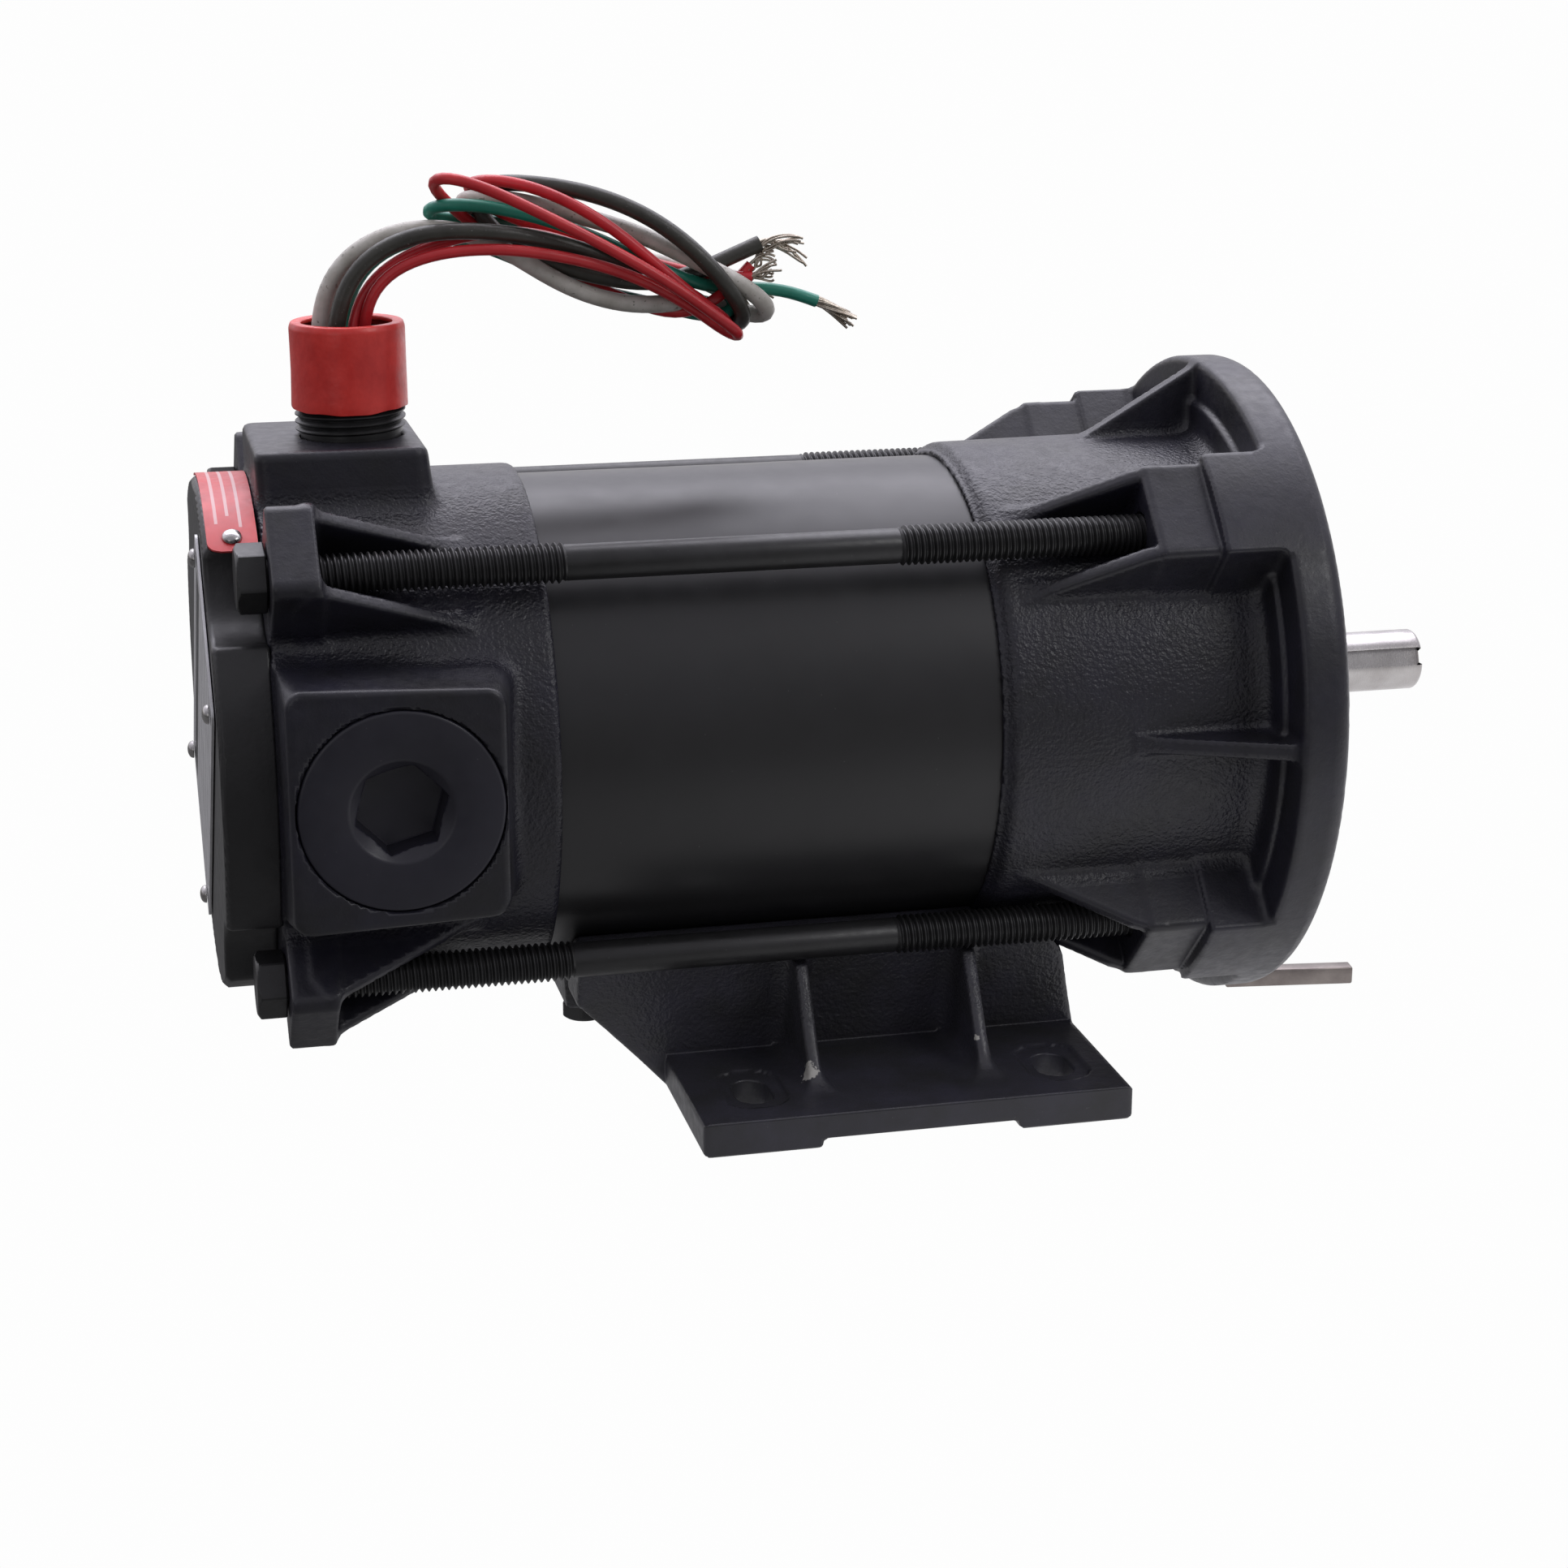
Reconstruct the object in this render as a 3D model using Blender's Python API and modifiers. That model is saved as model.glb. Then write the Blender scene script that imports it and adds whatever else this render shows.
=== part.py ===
"""Explosion-proof permanent-magnet DC motor with a C-face, a foot base and free leads.

The model stands on its feet: z = 0 is the floor, +X runs along the shaft towards its end,
and the origin is the middle of the object's footprint. Every piece hangs from one empty that
sits on the shaft axis at the mounting face, so the sizes below are measured from there.
"""
import math

import bmesh
import bpy
from mathutils import Matrix, Vector

MM = 0.001
GAP = 0.3 * MM

# Overall frame
SHAFT_HEIGHT = 88.9 * MM
SHAFT_END = 52.4 * MM
REAR_END = -268.2 * MM
FACE_X = -(SHAFT_END + REAR_END) / 2

# Shell and the two end bells
SHELL_RADIUS = 59.8 * MM
SHELL_WALL = 4.8 * MM
BELL_BORE = SHELL_RADIUS + GAP
CAVITY_RADIUS = SHELL_RADIUS - SHELL_WALL
REAR_BELL_RADIUS = 62.5 * MM
REAR_BELL_BACK = -252.0 * MM
COVER_BACK = -265.4 * MM
REAR_BELL_FRONT = -187.4 * MM
NOTCH_RADIUS = 12.8 * MM
REAR_LUG_REACH = 81.6 * MM
REAR_LUG_HALF = 12.4 * MM
FRONT_BELL_REAR = -80.4 * MM
FRONT_BELL_RADIUS = 63.0 * MM
RABBET_DEPTH = 4.4 * MM
FLANGE_RADIUS = 82.6 * MM
FLANGE_CHAMFER = 2.6 * MM
FLANGE_BACK = -12.5 * MM
BELL_GUSSET_HALF = 2.1 * MM
BOLT_BLOCK_HALF = 13.2 * MM
RIM_BLOCK_HALF = 14.3 * MM
CAST_ROOT = 57 * MM
PILOT_RADIUS = 57.15 * MM
PILOT_LENGTH = 4.0 * MM
FACE_HOLE_CIRCLE = 74.6 * MM

# Through bolts, 3/8 inch, one at each corner
BOLT_CIRCLE = 69.0 * MM
BOLT_RADIUS = 4.76 * MM
BOLT_SHANK_RADIUS = 4.2 * MM
BOLT_HEAD_RADIUS = 8.25 * MM
BOLT_HEAD_HEIGHT = 6.9 * MM
BOLT_END = -29.0 * MM
REAR_THREAD_END = -183.3 * MM
FRONT_THREAD_START = -104.5 * MM
CORNER_ANGLES = (45, 135, 225, 315)

# Brush gear, on the horizontal diameter
BRUSH_X = -226.3 * MM
PAD_FACE = 77.5 * MM
PLUG_RADIUS = 23.5 * MM
PLUG_HEAD_DEPTH = 8.0 * MM
SOCKET_MOUTH_RADIUS = 12.2 * MM
PLUG_SOCKET_RADIUS = 11.0 * MM
PLUG_NECK_RADIUS = 16.5 * MM
PLUG_INNER_END = 61.0 * MM
COMMUTATOR_RADIUS = 22.2 * MM
COMMUTATOR_FRONT = -213.5 * MM
BRUSH_LENGTH = 18.0 * MM
BRUSH_WIDTH = 9.0 * MM
BRUSH_HEIGHT = 14.0 * MM
SPRING_RADIUS = 3.6 * MM
SPRING_WIRE = 0.45 * MM
SPRING_TURNS = 4

# Conduit boss, nipple and lead outlet
CONDUIT_X = -227.1 * MM
BOSS_TOP = 72.3 * MM
BOSS_HALF_WIDTH = 22.5 * MM
NIPPLE_RADIUS = 13.2 * MM
NIPPLE_NECK_RADIUS = 12.0 * MM
NIPPLE_BORE = 10.4 * MM
NIPPLE_BOTTOM = 56.0 * MM
THREAD_BOTTOM = 74.4 * MM
NIPPLE_TOP = 97.0 * MM
CAP_RADIUS = 13.9 * MM
CAP_BORE = 10.9 * MM
CAP_BOTTOM = 79.0 * MM
CAP_TOP = 99.6 * MM
SEAL_TOP = 87.2 * MM
SEAL_BOTTOM = 78 * MM

# Plates on the rear cover
PLATE_TURN = -44.0
PLATE_LENGTH = 104.0 * MM
PLATE_WIDTH = 51.0 * MM
PLATE_THICKNESS = 0.6 * MM
PIN_HEAD_RADIUS = 2.3 * MM
PIN_SPACING = (94.0 * MM, 42.0 * MM)
LABEL_THICKNESS = 0.5 * MM
LABEL_RIVET_X = -258.4 * MM

# Foot base
FOOT_BACK = -159.0 * MM
FOOT_FRONT = -53.0 * MM
FOOT_HALF_WIDTH = 82.6 * MM
FOOT_PLATE = 8.4 * MM
FOOT_HOLE_X = (-142.8 * MM, -66.6 * MM)
FOOT_HOLE_Y = 61.9 * MM
FOOT_SLOT_RADIUS = 4.4 * MM
FOOT_SLOT_LENGTH = 15.0 * MM
BASE_BOLT_SHANK_RADIUS = 2.6 * MM
BASE_BOLT_HEAD_RADIUS = 6.2 * MM
BASE_BOLT_SEAT_RADIUS = 7.2 * MM
BASE_HOLE_RADIUS = 2.9 * MM
GUSSET_X = (-127.3 * MM, -84.6 * MM)
GUSSET_HALF = 1.7 * MM
EAR_END = -181.5 * MM
EAR_HALF_WIDTH = 22.0 * MM

# Rotor
SHAFT_RADIUS = 7.94 * MM
ROTOR_SEAT_RADIUS = 9.5 * MM
BEARING_BORE = 8.5 * MM
BEARING_OUTER = 20.0 * MM
INNER_RING_RADIUS = 11.6 * MM
BEARING_WIDTH = 12.0 * MM
FRONT_BEARING_X = -26.5 * MM
REAR_BEARING_X = -251.2 * MM
CORE_RADIUS = 40.0 * MM
CORE_BACK = -176.0 * MM
CORE_FRONT = -96.0 * MM
CORE_SLOTS = 12
MAGNET_INNER = 41.2 * MM
MAGNET_OUTER = 54.4 * MM
KEY_SIDE = 4.76 * MM
KEY_LENGTH = 34.9 * MM
KEYSEAT_LENGTH = 35.8 * MM
KEYSEAT_ANGLE = 71.0

LEADS = {
    "lead_white": (2.15 * MM, [(-233.4, 1.6, 88.4), (-233.6, 1.3, 93.1),
                               (-233.3, 1.1, 97.8), (-232.6, 1, 102.3), (-231.2, 1, 106.6),
                               (-228.9, 0.9, 110.5), (-225.9, 0.9, 113.9),
                               (-222.3, 0.9, 116.5), (-216, 1.1, 119.2)]),
    "lead_black": (2 * MM, [(-230.3, -3.6, 88.4), (-230.3, -3.8, 93.1),
                            (-229.9, -4, 97.8), (-229.1, -4.1, 102.3),
                            (-227.6, -4.2, 106.6), (-225.3, -4.3, 110.5),
                            (-222.3, -4.4, 113.8), (-216.6, -4.5, 117.4)]),
    "lead_red_1": (1.4 * MM, [(-225.9, -3, 88.4), (-226.1, -2.3, 93), (-225.8, -1.8, 97.5),
                              (-224.6, -1.5, 101.9), (-222.6, -1.4, 105.8),
                              (-219.8, -1.3, 109.3), (-214.4, -1.2, 113.3)]),
    "lead_red_2": (1.4 * MM, [(-222.5, 0.9, 88.4), (-222.9, -1, 92.6),
                              (-222.9, -2.4, 96.9), (-222.4, -3.4, 101.1),
                              (-221, -4.1, 105.2), (-218.6, -4.7, 108.7),
                              (-213.4, -5.4, 112.5)]),
    "lead_green": (1.55 * MM, [(-227.8, 4.9, 88.4), (-227.7, 5.1, 93.1),
                               (-227.3, 5.2, 97.8), (-226.3, 5.3, 102.2),
                               (-224.6, 5.5, 106.4), (-222.1, 5.7, 110.1),
                               (-218.9, 6, 113.1), (-215, 6.4, 115.3)]),
}
HANK_START = (-198.3, 120.6)
HANK_END = (-126.0, 101.0)
HANK_RADIUS = 14.0
HANK_HALF_WIDTH = 12.0

START_ANGLE = math.radians(1.3)
COARSE = 48
MEDIUM = 32
FINE = 20


def clear_scene():
    for obj in list(bpy.data.objects):
        bpy.data.objects.remove(obj, do_unlink=True)


def make_collection(name):
    collection = bpy.data.collections.new(name)
    bpy.context.scene.collection.children.link(collection)
    return collection


def make_material(name, colour, roughness, metallic):
    material = bpy.data.materials.new(name)
    material.use_nodes = True
    shader = material.node_tree.nodes["Principled BSDF"]
    shader.inputs["Base Color"].default_value = (*colour, 1.0)
    shader.inputs["Roughness"].default_value = roughness
    shader.inputs["Metallic"].default_value = metallic
    material.diffuse_color = (*colour, 1.0)
    return material


clear_scene()
MOTOR = make_collection("electric_motor")
CUTTERS = make_collection("cutters")
ROOT = bpy.data.objects.new("shaft_axis_at_face", None)
ROOT.location = (FACE_X, 0, SHAFT_HEIGHT)
MOTOR.objects.link(ROOT)

CAST_BLACK = ((0.012, 0.012, 0.016), 0.55, 0.0)
SMOOTH_BLACK = ((0.014, 0.014, 0.018), 0.4, 0.0)
BOLT_BLACK = ((0.02, 0.02, 0.022), 0.4, 0.6)
STEEL = ((0.62, 0.61, 0.60), 0.25, 1.0)
BRIGHT_PLATE = ((0.72, 0.72, 0.72), 0.3, 1.0)
COPPER = ((0.62, 0.28, 0.14), 0.35, 1.0)
ENAMEL = ((0.30, 0.10, 0.03), 0.4, 0.0)
LAMINATION = ((0.22, 0.21, 0.21), 0.5, 0.9)
FERRITE = ((0.05, 0.05, 0.055), 0.8, 0.0)
CARBON = ((0.03, 0.03, 0.03), 0.7, 0.1)
PHENOLIC = ((0.16, 0.07, 0.03), 0.6, 0.0)
BRASS = ((0.70, 0.50, 0.20), 0.3, 1.0)
RED_PLASTIC = ((0.66, 0.03, 0.03), 0.4, 0.0)
LABEL_RED = ((0.60, 0.02, 0.03), 0.4, 0.0)
COMPOUND = ((0.30, 0.22, 0.16), 0.7, 0.0)
RUBBER = ((0.02, 0.02, 0.02), 0.8, 0.0)
LEAD_COLOURS = {
    "lead_white": (0.62, 0.61, 0.56), "lead_black": (0.03, 0.03, 0.025),
    "lead_red_1": (0.55, 0.03, 0.04), "lead_red_2": (0.55, 0.03, 0.04),
    "lead_green": (0.02, 0.22, 0.14), "lead_hank": (0.20, 0.12, 0.10),
}


def add_piece(name, mesh, look):
    """A sub-part: its mesh is in the motor's own frame, measured from the mounting face."""
    obj = bpy.data.objects.new(name, mesh)
    obj.parent = ROOT
    MOTOR.objects.link(obj)
    obj.data.materials.append(make_material(name, *look))
    return obj


def add_cutter(name, mesh):
    obj = bpy.data.objects.new(name, mesh)
    obj.parent = ROOT
    obj.hide_render = True
    obj.display_type = "WIRE"
    CUTTERS.objects.link(obj)
    return obj


def boolean(target, tool, operation):
    modifier = target.modifiers.new(tool.name, "BOOLEAN")
    modifier.operation = operation
    modifier.solver = "EXACT"
    modifier.object = tool


def bevel(obj, width, segments=2, angle=40):
    modifier = obj.modifiers.new("rounding", "BEVEL")
    modifier.width = width
    modifier.segments = segments
    modifier.limit_method = "ANGLE"
    modifier.angle_limit = math.radians(angle)
    modifier.use_clamp_overlap = True
    return modifier


def turn_about_x(angle):
    """Turns +Z towards -Y by the angle, as seen along the shaft."""
    return Matrix.Rotation(math.radians(angle), 4, "X")


def block_mesh(name, low, high, turn=None, taper=None):
    """A box between two corners; taper = (axis, amount) narrows the high end along that axis."""
    bm = bmesh.new()
    bmesh.ops.create_cube(bm, size=1.0)
    size = Vector(high) - Vector(low)
    middle = (Vector(high) + Vector(low)) / 2
    for vert in bm.verts:
        scale = Vector((1, 1, 1))
        if taper and vert.co[taper[0]] > 0:
            for axis in range(3):
                if axis != taper[0]:
                    scale[axis] = 1 - 2 * taper[1] / size[axis]
        local = vert.co * 1.0
        vert.co = Vector([middle[i] + local[i] * size[i] * scale[i] for i in range(3)])
    if turn is not None:
        bm.transform(turn)
    mesh = bpy.data.meshes.new(name)
    bm.to_mesh(mesh)
    bm.free()
    return mesh


def prism_mesh(name, outline, normal_axis, low, high, turn=None):
    """A flat outline pushed along one axis. The outline gives the two other axes in order."""
    bm = bmesh.new()
    others = [axis for axis in range(3) if axis != normal_axis]
    corners = []
    for first, second in outline:
        point = [0.0, 0.0, 0.0]
        point[others[0]] = first
        point[others[1]] = second
        point[normal_axis] = low
        corners.append(bm.verts.new(point))
    face = bm.faces.new(corners)
    grown = bmesh.ops.extrude_face_region(bm, geom=[face])
    push = Vector([high - low if axis == normal_axis else 0.0 for axis in range(3)])
    moved = [item for item in grown["geom"] if isinstance(item, bmesh.types.BMVert)]
    bmesh.ops.translate(bm, vec=push, verts=moved)
    bmesh.ops.recalc_face_normals(bm, faces=bm.faces)
    if turn is not None:
        bm.transform(turn)
    mesh = bpy.data.meshes.new(name)
    bm.to_mesh(mesh)
    bm.free()
    return mesh


def rod_mesh(name, radius, start, end, sides, end_radius=None, phase=0.0):
    """A solid rod or cone between two points."""
    start = Vector(start)
    along = Vector(end) - start
    bm = bmesh.new()
    bmesh.ops.create_cone(bm, cap_ends=True, segments=sides, radius1=radius,
                          radius2=radius if end_radius is None else end_radius,
                          depth=along.length)
    bm.transform(Matrix.Rotation(phase, 4, "Z"))
    bm.transform(Matrix.Translation((0, 0, along.length / 2)))
    bm.transform(Vector((0, 0, 1)).rotation_difference(along).to_matrix().to_4x4())
    bm.transform(Matrix.Translation(start))
    mesh = bpy.data.meshes.new(name)
    bm.to_mesh(mesh)
    bm.free()
    return mesh


def lathe_mesh(name, profile, on_axis):
    """The profile of a turned piece, as (x, radius) pairs in metres, in the local XZ plane."""
    pairs = list(profile)
    area = sum(a[1] * b[0] - b[1] * a[0] for a, b in zip(pairs, pairs[1:] + pairs[:1]))
    if area > 0:
        pairs.reverse()
    bm = bmesh.new()
    verts = [bm.verts.new((radius * math.cos(START_ANGLE), radius * math.sin(START_ANGLE), along))
             for along, radius in pairs]
    for first, second in zip(verts, verts[1:]):
        bm.edges.new((first, second))
    if not on_axis:
        bm.edges.new((verts[-1], verts[0]))
    mesh = bpy.data.meshes.new(name)
    bm.to_mesh(mesh)
    bm.free()
    return mesh


def add_screw(obj, sides):
    screw = obj.modifiers.new("turning", "SCREW")
    screw.axis = "Z"
    screw.steps = sides
    screw.render_steps = sides
    screw.use_merge_vertices = True
    screw.merge_threshold = 0.00005
    screw.use_smooth_shade = True


def lay_along_x(obj):
    obj.rotation_euler = (0, math.radians(90), 0)


def add_turned(name, profile, look, sides=COARSE, on_axis=False, upright=None):
    """A piece turned about the shaft axis, or about a vertical axis at (x, y) = upright."""
    obj = add_piece(name, lathe_mesh(name, profile, on_axis), look)
    if upright is None:
        lay_along_x(obj)
    else:
        obj.location = (*upright, 0)
    add_screw(obj, sides)
    return obj


def add_rod_cut(target, name, radius, start, end, sides=FINE, end_radius=None, phase=0.0):
    tool = add_cutter(name, rod_mesh(name, radius, start, end, sides, end_radius, phase))
    boolean(target, tool, "DIFFERENCE")


def add_union(target, name, mesh, round_by=None, segments=2):
    tool = add_cutter(name, mesh)
    if round_by:
        bevel(tool, round_by, segments)
    boolean(target, tool, "UNION")


def at_corner(radial, across, angle):
    """The y and z of a point on a corner's own axes: outwards, then across."""
    turned = turn_about_x(angle) @ Vector((0, across, radial))
    return turned.y, turned.z


# ---------------------------------------------------------------- frame

def build_shell():
    back = REAR_BELL_FRONT - RABBET_DEPTH + GAP
    front = FRONT_BELL_REAR + RABBET_DEPTH - GAP
    profile = [(back, SHELL_RADIUS), (front, SHELL_RADIUS),
               (front, CAVITY_RADIUS), (back, CAVITY_RADIUS)]
    add_turned("frame_shell", profile, SMOOTH_BLACK)


def add_corner_rib(bell, name, angle, side, outline, inner, outer):
    low, high = sorted((side * inner, side * outer))
    mesh = prism_mesh(name, outline, 1, low, high, turn_about_x(angle))
    add_union(bell, name, mesh)


def build_front_bell():
    wall = FRONT_BELL_RADIUS
    shoulder = FRONT_BELL_REAR + RABBET_DEPTH
    seat_back = FRONT_BEARING_X - 0.6 * MM
    seat_front = FRONT_BEARING_X + BEARING_WIDTH + GAP
    profile = [
        (FRONT_BELL_REAR, BELL_BORE), (FRONT_BELL_REAR, 60.9 * MM),
        (-79.4 * MM, 61.2 * MM), (-77.9 * MM, 62.7 * MM), (-77.0 * MM, wall),
        (-15.0 * MM, wall + 0.8 * MM), (FLANGE_BACK - 0.6 * MM, 64.6 * MM),
        (FLANGE_BACK, 66.6 * MM), (FLANGE_BACK, FLANGE_RADIUS - 1.0 * MM),
        (FLANGE_BACK + 1.0 * MM, FLANGE_RADIUS), (-3.2 * MM, FLANGE_RADIUS),
        (-1.0 * MM, FLANGE_RADIUS - 0.9 * MM), (0, FLANGE_RADIUS - FLANGE_CHAMFER),
        (0, PILOT_RADIUS), (PILOT_LENGTH, PILOT_RADIUS), (PILOT_LENGTH, PILOT_RADIUS - 6 * MM),
        (-2 * MM, 46 * MM), (-2 * MM, 14 * MM), (-3 * MM, SHAFT_RADIUS + 0.45 * MM),
        (-10 * MM, SHAFT_RADIUS + 0.45 * MM), (-10 * MM, 15 * MM),
        (seat_front, 15 * MM), (seat_front, BEARING_OUTER + GAP),
        (seat_back, BEARING_OUTER + GAP), (seat_back, 27 * MM),
        (-17 * MM, 30 * MM), (-17 * MM, 46 * MM), (-32 * MM, CAVITY_RADIUS),
        (shoulder, CAVITY_RADIUS), (shoulder, BELL_BORE),
    ]
    bell = add_turned("front_end_bell", profile, CAST_BLACK)
    root = CAST_ROOT
    for number, angle in enumerate(CORNER_ANGLES, 1):
        turn = turn_about_x(angle)
        tag = f"front_lug_{number}"
        add_union(bell, tag + "_rim_block",
                  block_mesh(tag + "_rim_block", (-28 * MM, -RIM_BLOCK_HALF, root),
                             (-6 * MM, RIM_BLOCK_HALF, 81.2 * MM), turn))
        add_union(bell, tag + "_bolt_block",
                  block_mesh(tag + "_bolt_block", (-43.5 * MM, -BOLT_BLOCK_HALF, root),
                             (-26 * MM, BOLT_BLOCK_HALF, 78.8 * MM), turn))
        rib = [(-41.6 * MM, root - 0.7 * MM), (-41.6 * MM, 77.8 * MM), (-46.5 * MM, 76.2 * MM),
               (-51 * MM, 73.9 * MM), (-71 * MM, 62.2 * MM), (-71 * MM, root - 0.7 * MM)]
        for side in (-1, 1):
            add_corner_rib(bell, f"{tag}_rib_{'ab'[side > 0]}", angle, side, rib,
                           9.3 * MM, 12.9 * MM)
        y, z = at_corner(BOLT_CIRCLE, 0, angle)
        add_rod_cut(bell, tag + "_bolt_hole", BOLT_RADIUS + GAP, (-50 * MM, y, z),
                    (BOLT_END + 1.5 * MM, y, z))
        y, z = at_corner(FACE_HOLE_CIRCLE, 0, angle)
        add_rod_cut(bell, tag + "_face_hole", 4.0 * MM, (-19 * MM, y, z), (5 * MM, y, z))
    gussets = {"top": (0, -43, 82.0), "near": (90, -47.5, 80.4), "bottom": (180, -43, 82.0),
               "far": (270, -47.5, 80.4)}
    for name, (angle, tip, reach) in gussets.items():
        outline = [(tip * MM, 63.2 * MM), (FLANGE_BACK + 1 * MM, reach * MM),
                   (FLANGE_BACK + 1 * MM, root), (tip * MM, root)]
        tag = f"front_gusset_{name}"
        blade = prism_mesh(tag, outline, 1, -BELL_GUSSET_HALF, BELL_GUSSET_HALF, turn_about_x(angle))
        add_union(bell, tag, blade)


def build_rear_bell():
    wall = REAR_BELL_RADIUS
    shoulder = REAR_BELL_FRONT - RABBET_DEPTH
    hub_front = REAR_BEARING_X + BEARING_WIDTH + 0.4 * MM
    profile = [
        (REAR_BELL_FRONT, BELL_BORE), (REAR_BELL_FRONT, 61.4 * MM),
        (REAR_BELL_FRONT - 0.4 * MM, 62.1 * MM), (REAR_BELL_FRONT - 1.3 * MM, wall),
        (REAR_BELL_BACK + 0.6 * MM, wall), (REAR_BELL_BACK, wall - 0.6 * MM),
        (REAR_BELL_BACK, BEARING_OUTER + GAP), (hub_front, BEARING_OUTER + GAP),
        (hub_front, 27 * MM), (-244 * MM, 29 * MM), (-244 * MM, 50 * MM),
        (-239 * MM, CAVITY_RADIUS), (shoulder, CAVITY_RADIUS), (shoulder, BELL_BORE),
    ]
    bell = add_turned("rear_end_bell", profile, CAST_BLACK)
    root = CAST_ROOT
    back = REAR_BELL_BACK
    for number, angle in enumerate(CORNER_ANGLES, 1):
        turn = turn_about_x(angle)
        tag = f"rear_lug_{number}"
        add_union(bell, tag + "_plate",
                  block_mesh(tag + "_plate", (back, -REAR_LUG_HALF, root),
                             (-241 * MM, REAR_LUG_HALF, REAR_LUG_REACH), turn))
        rib = [(-243 * MM, root), (-243 * MM, 80.4 * MM), (-206.5 * MM, 61.8 * MM),
               (-206.5 * MM, root)]
        for side in (-1, 1):
            add_corner_rib(bell, f"{tag}_rib_{'ab'[side > 0]}", angle, side, rib,
                           8.4 * MM, 12.0 * MM)
        y, z = at_corner(BOLT_CIRCLE, 0, angle)
        add_rod_cut(bell, tag + "_bolt_hole", BOLT_RADIUS + GAP, (back - 5 * MM, y, z),
                    (-236 * MM, y, z))
    boss = block_mesh("conduit_boss", (back, -BOSS_HALF_WIDTH - 1 * MM, 56 * MM),
                      (-209.8 * MM, BOSS_HALF_WIDTH + 1 * MM, BOSS_TOP), taper=(2, 1.0 * MM))
    add_union(bell, "conduit_boss", boss, 2.0 * MM, 2)
    add_rod_cut(bell, "conduit_hole", NIPPLE_NECK_RADIUS + GAP, (CONDUIT_X, 0, 40 * MM),
                (CONDUIT_X, 0, BOSS_TOP + 5 * MM), MEDIUM)
    for side, name in ((-1, "near"), (1, "far")):
        pad = block_mesh(f"brush_pad_{name}", (-251.2 * MM, -29.5 * MM, 56 * MM),
                         (-199.6 * MM, 29.5 * MM, PAD_FACE), turn_about_x(-90 * side),
                         taper=(2, 3.2 * MM))
        add_union(bell, f"brush_pad_{name}", pad, 3.0 * MM, 2)
        add_rod_cut(bell, f"plug_recess_{name}", PLUG_RADIUS + GAP,
                    (BRUSH_X, side * (PAD_FACE - PLUG_HEAD_DEPTH - GAP), 0),
                    (BRUSH_X, side * (PAD_FACE + 5 * MM), 0), MEDIUM)
        add_rod_cut(bell, f"plug_bore_{name}", PLUG_NECK_RADIUS + GAP,
                    (BRUSH_X, side * 50 * MM, 0), (BRUSH_X, side * 72 * MM, 0), MEDIUM)


def build_rear_cover():
    back = COVER_BACK
    front = REAR_BELL_BACK - GAP
    profile = [
        (back, 0), (back, REAR_BELL_RADIUS - 1.2 * MM), (back + 1.2 * MM, REAR_BELL_RADIUS),
        (front, REAR_BELL_RADIUS), (front, 15 * MM), (front - 7 * MM, 15 * MM), (front - 7 * MM, 0),
    ]
    cover = add_turned("rear_cover", profile, CAST_BLACK, on_axis=True)
    for number, angle in enumerate(CORNER_ANGLES, 1):
        y, z = at_corner(BOLT_CIRCLE + 2 * MM, 0, angle)
        add_rod_cut(cover, f"cover_notch_{number}", NOTCH_RADIUS, (back - 3 * MM, y, z),
                    (front + 3 * MM, y, z), FINE)


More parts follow.
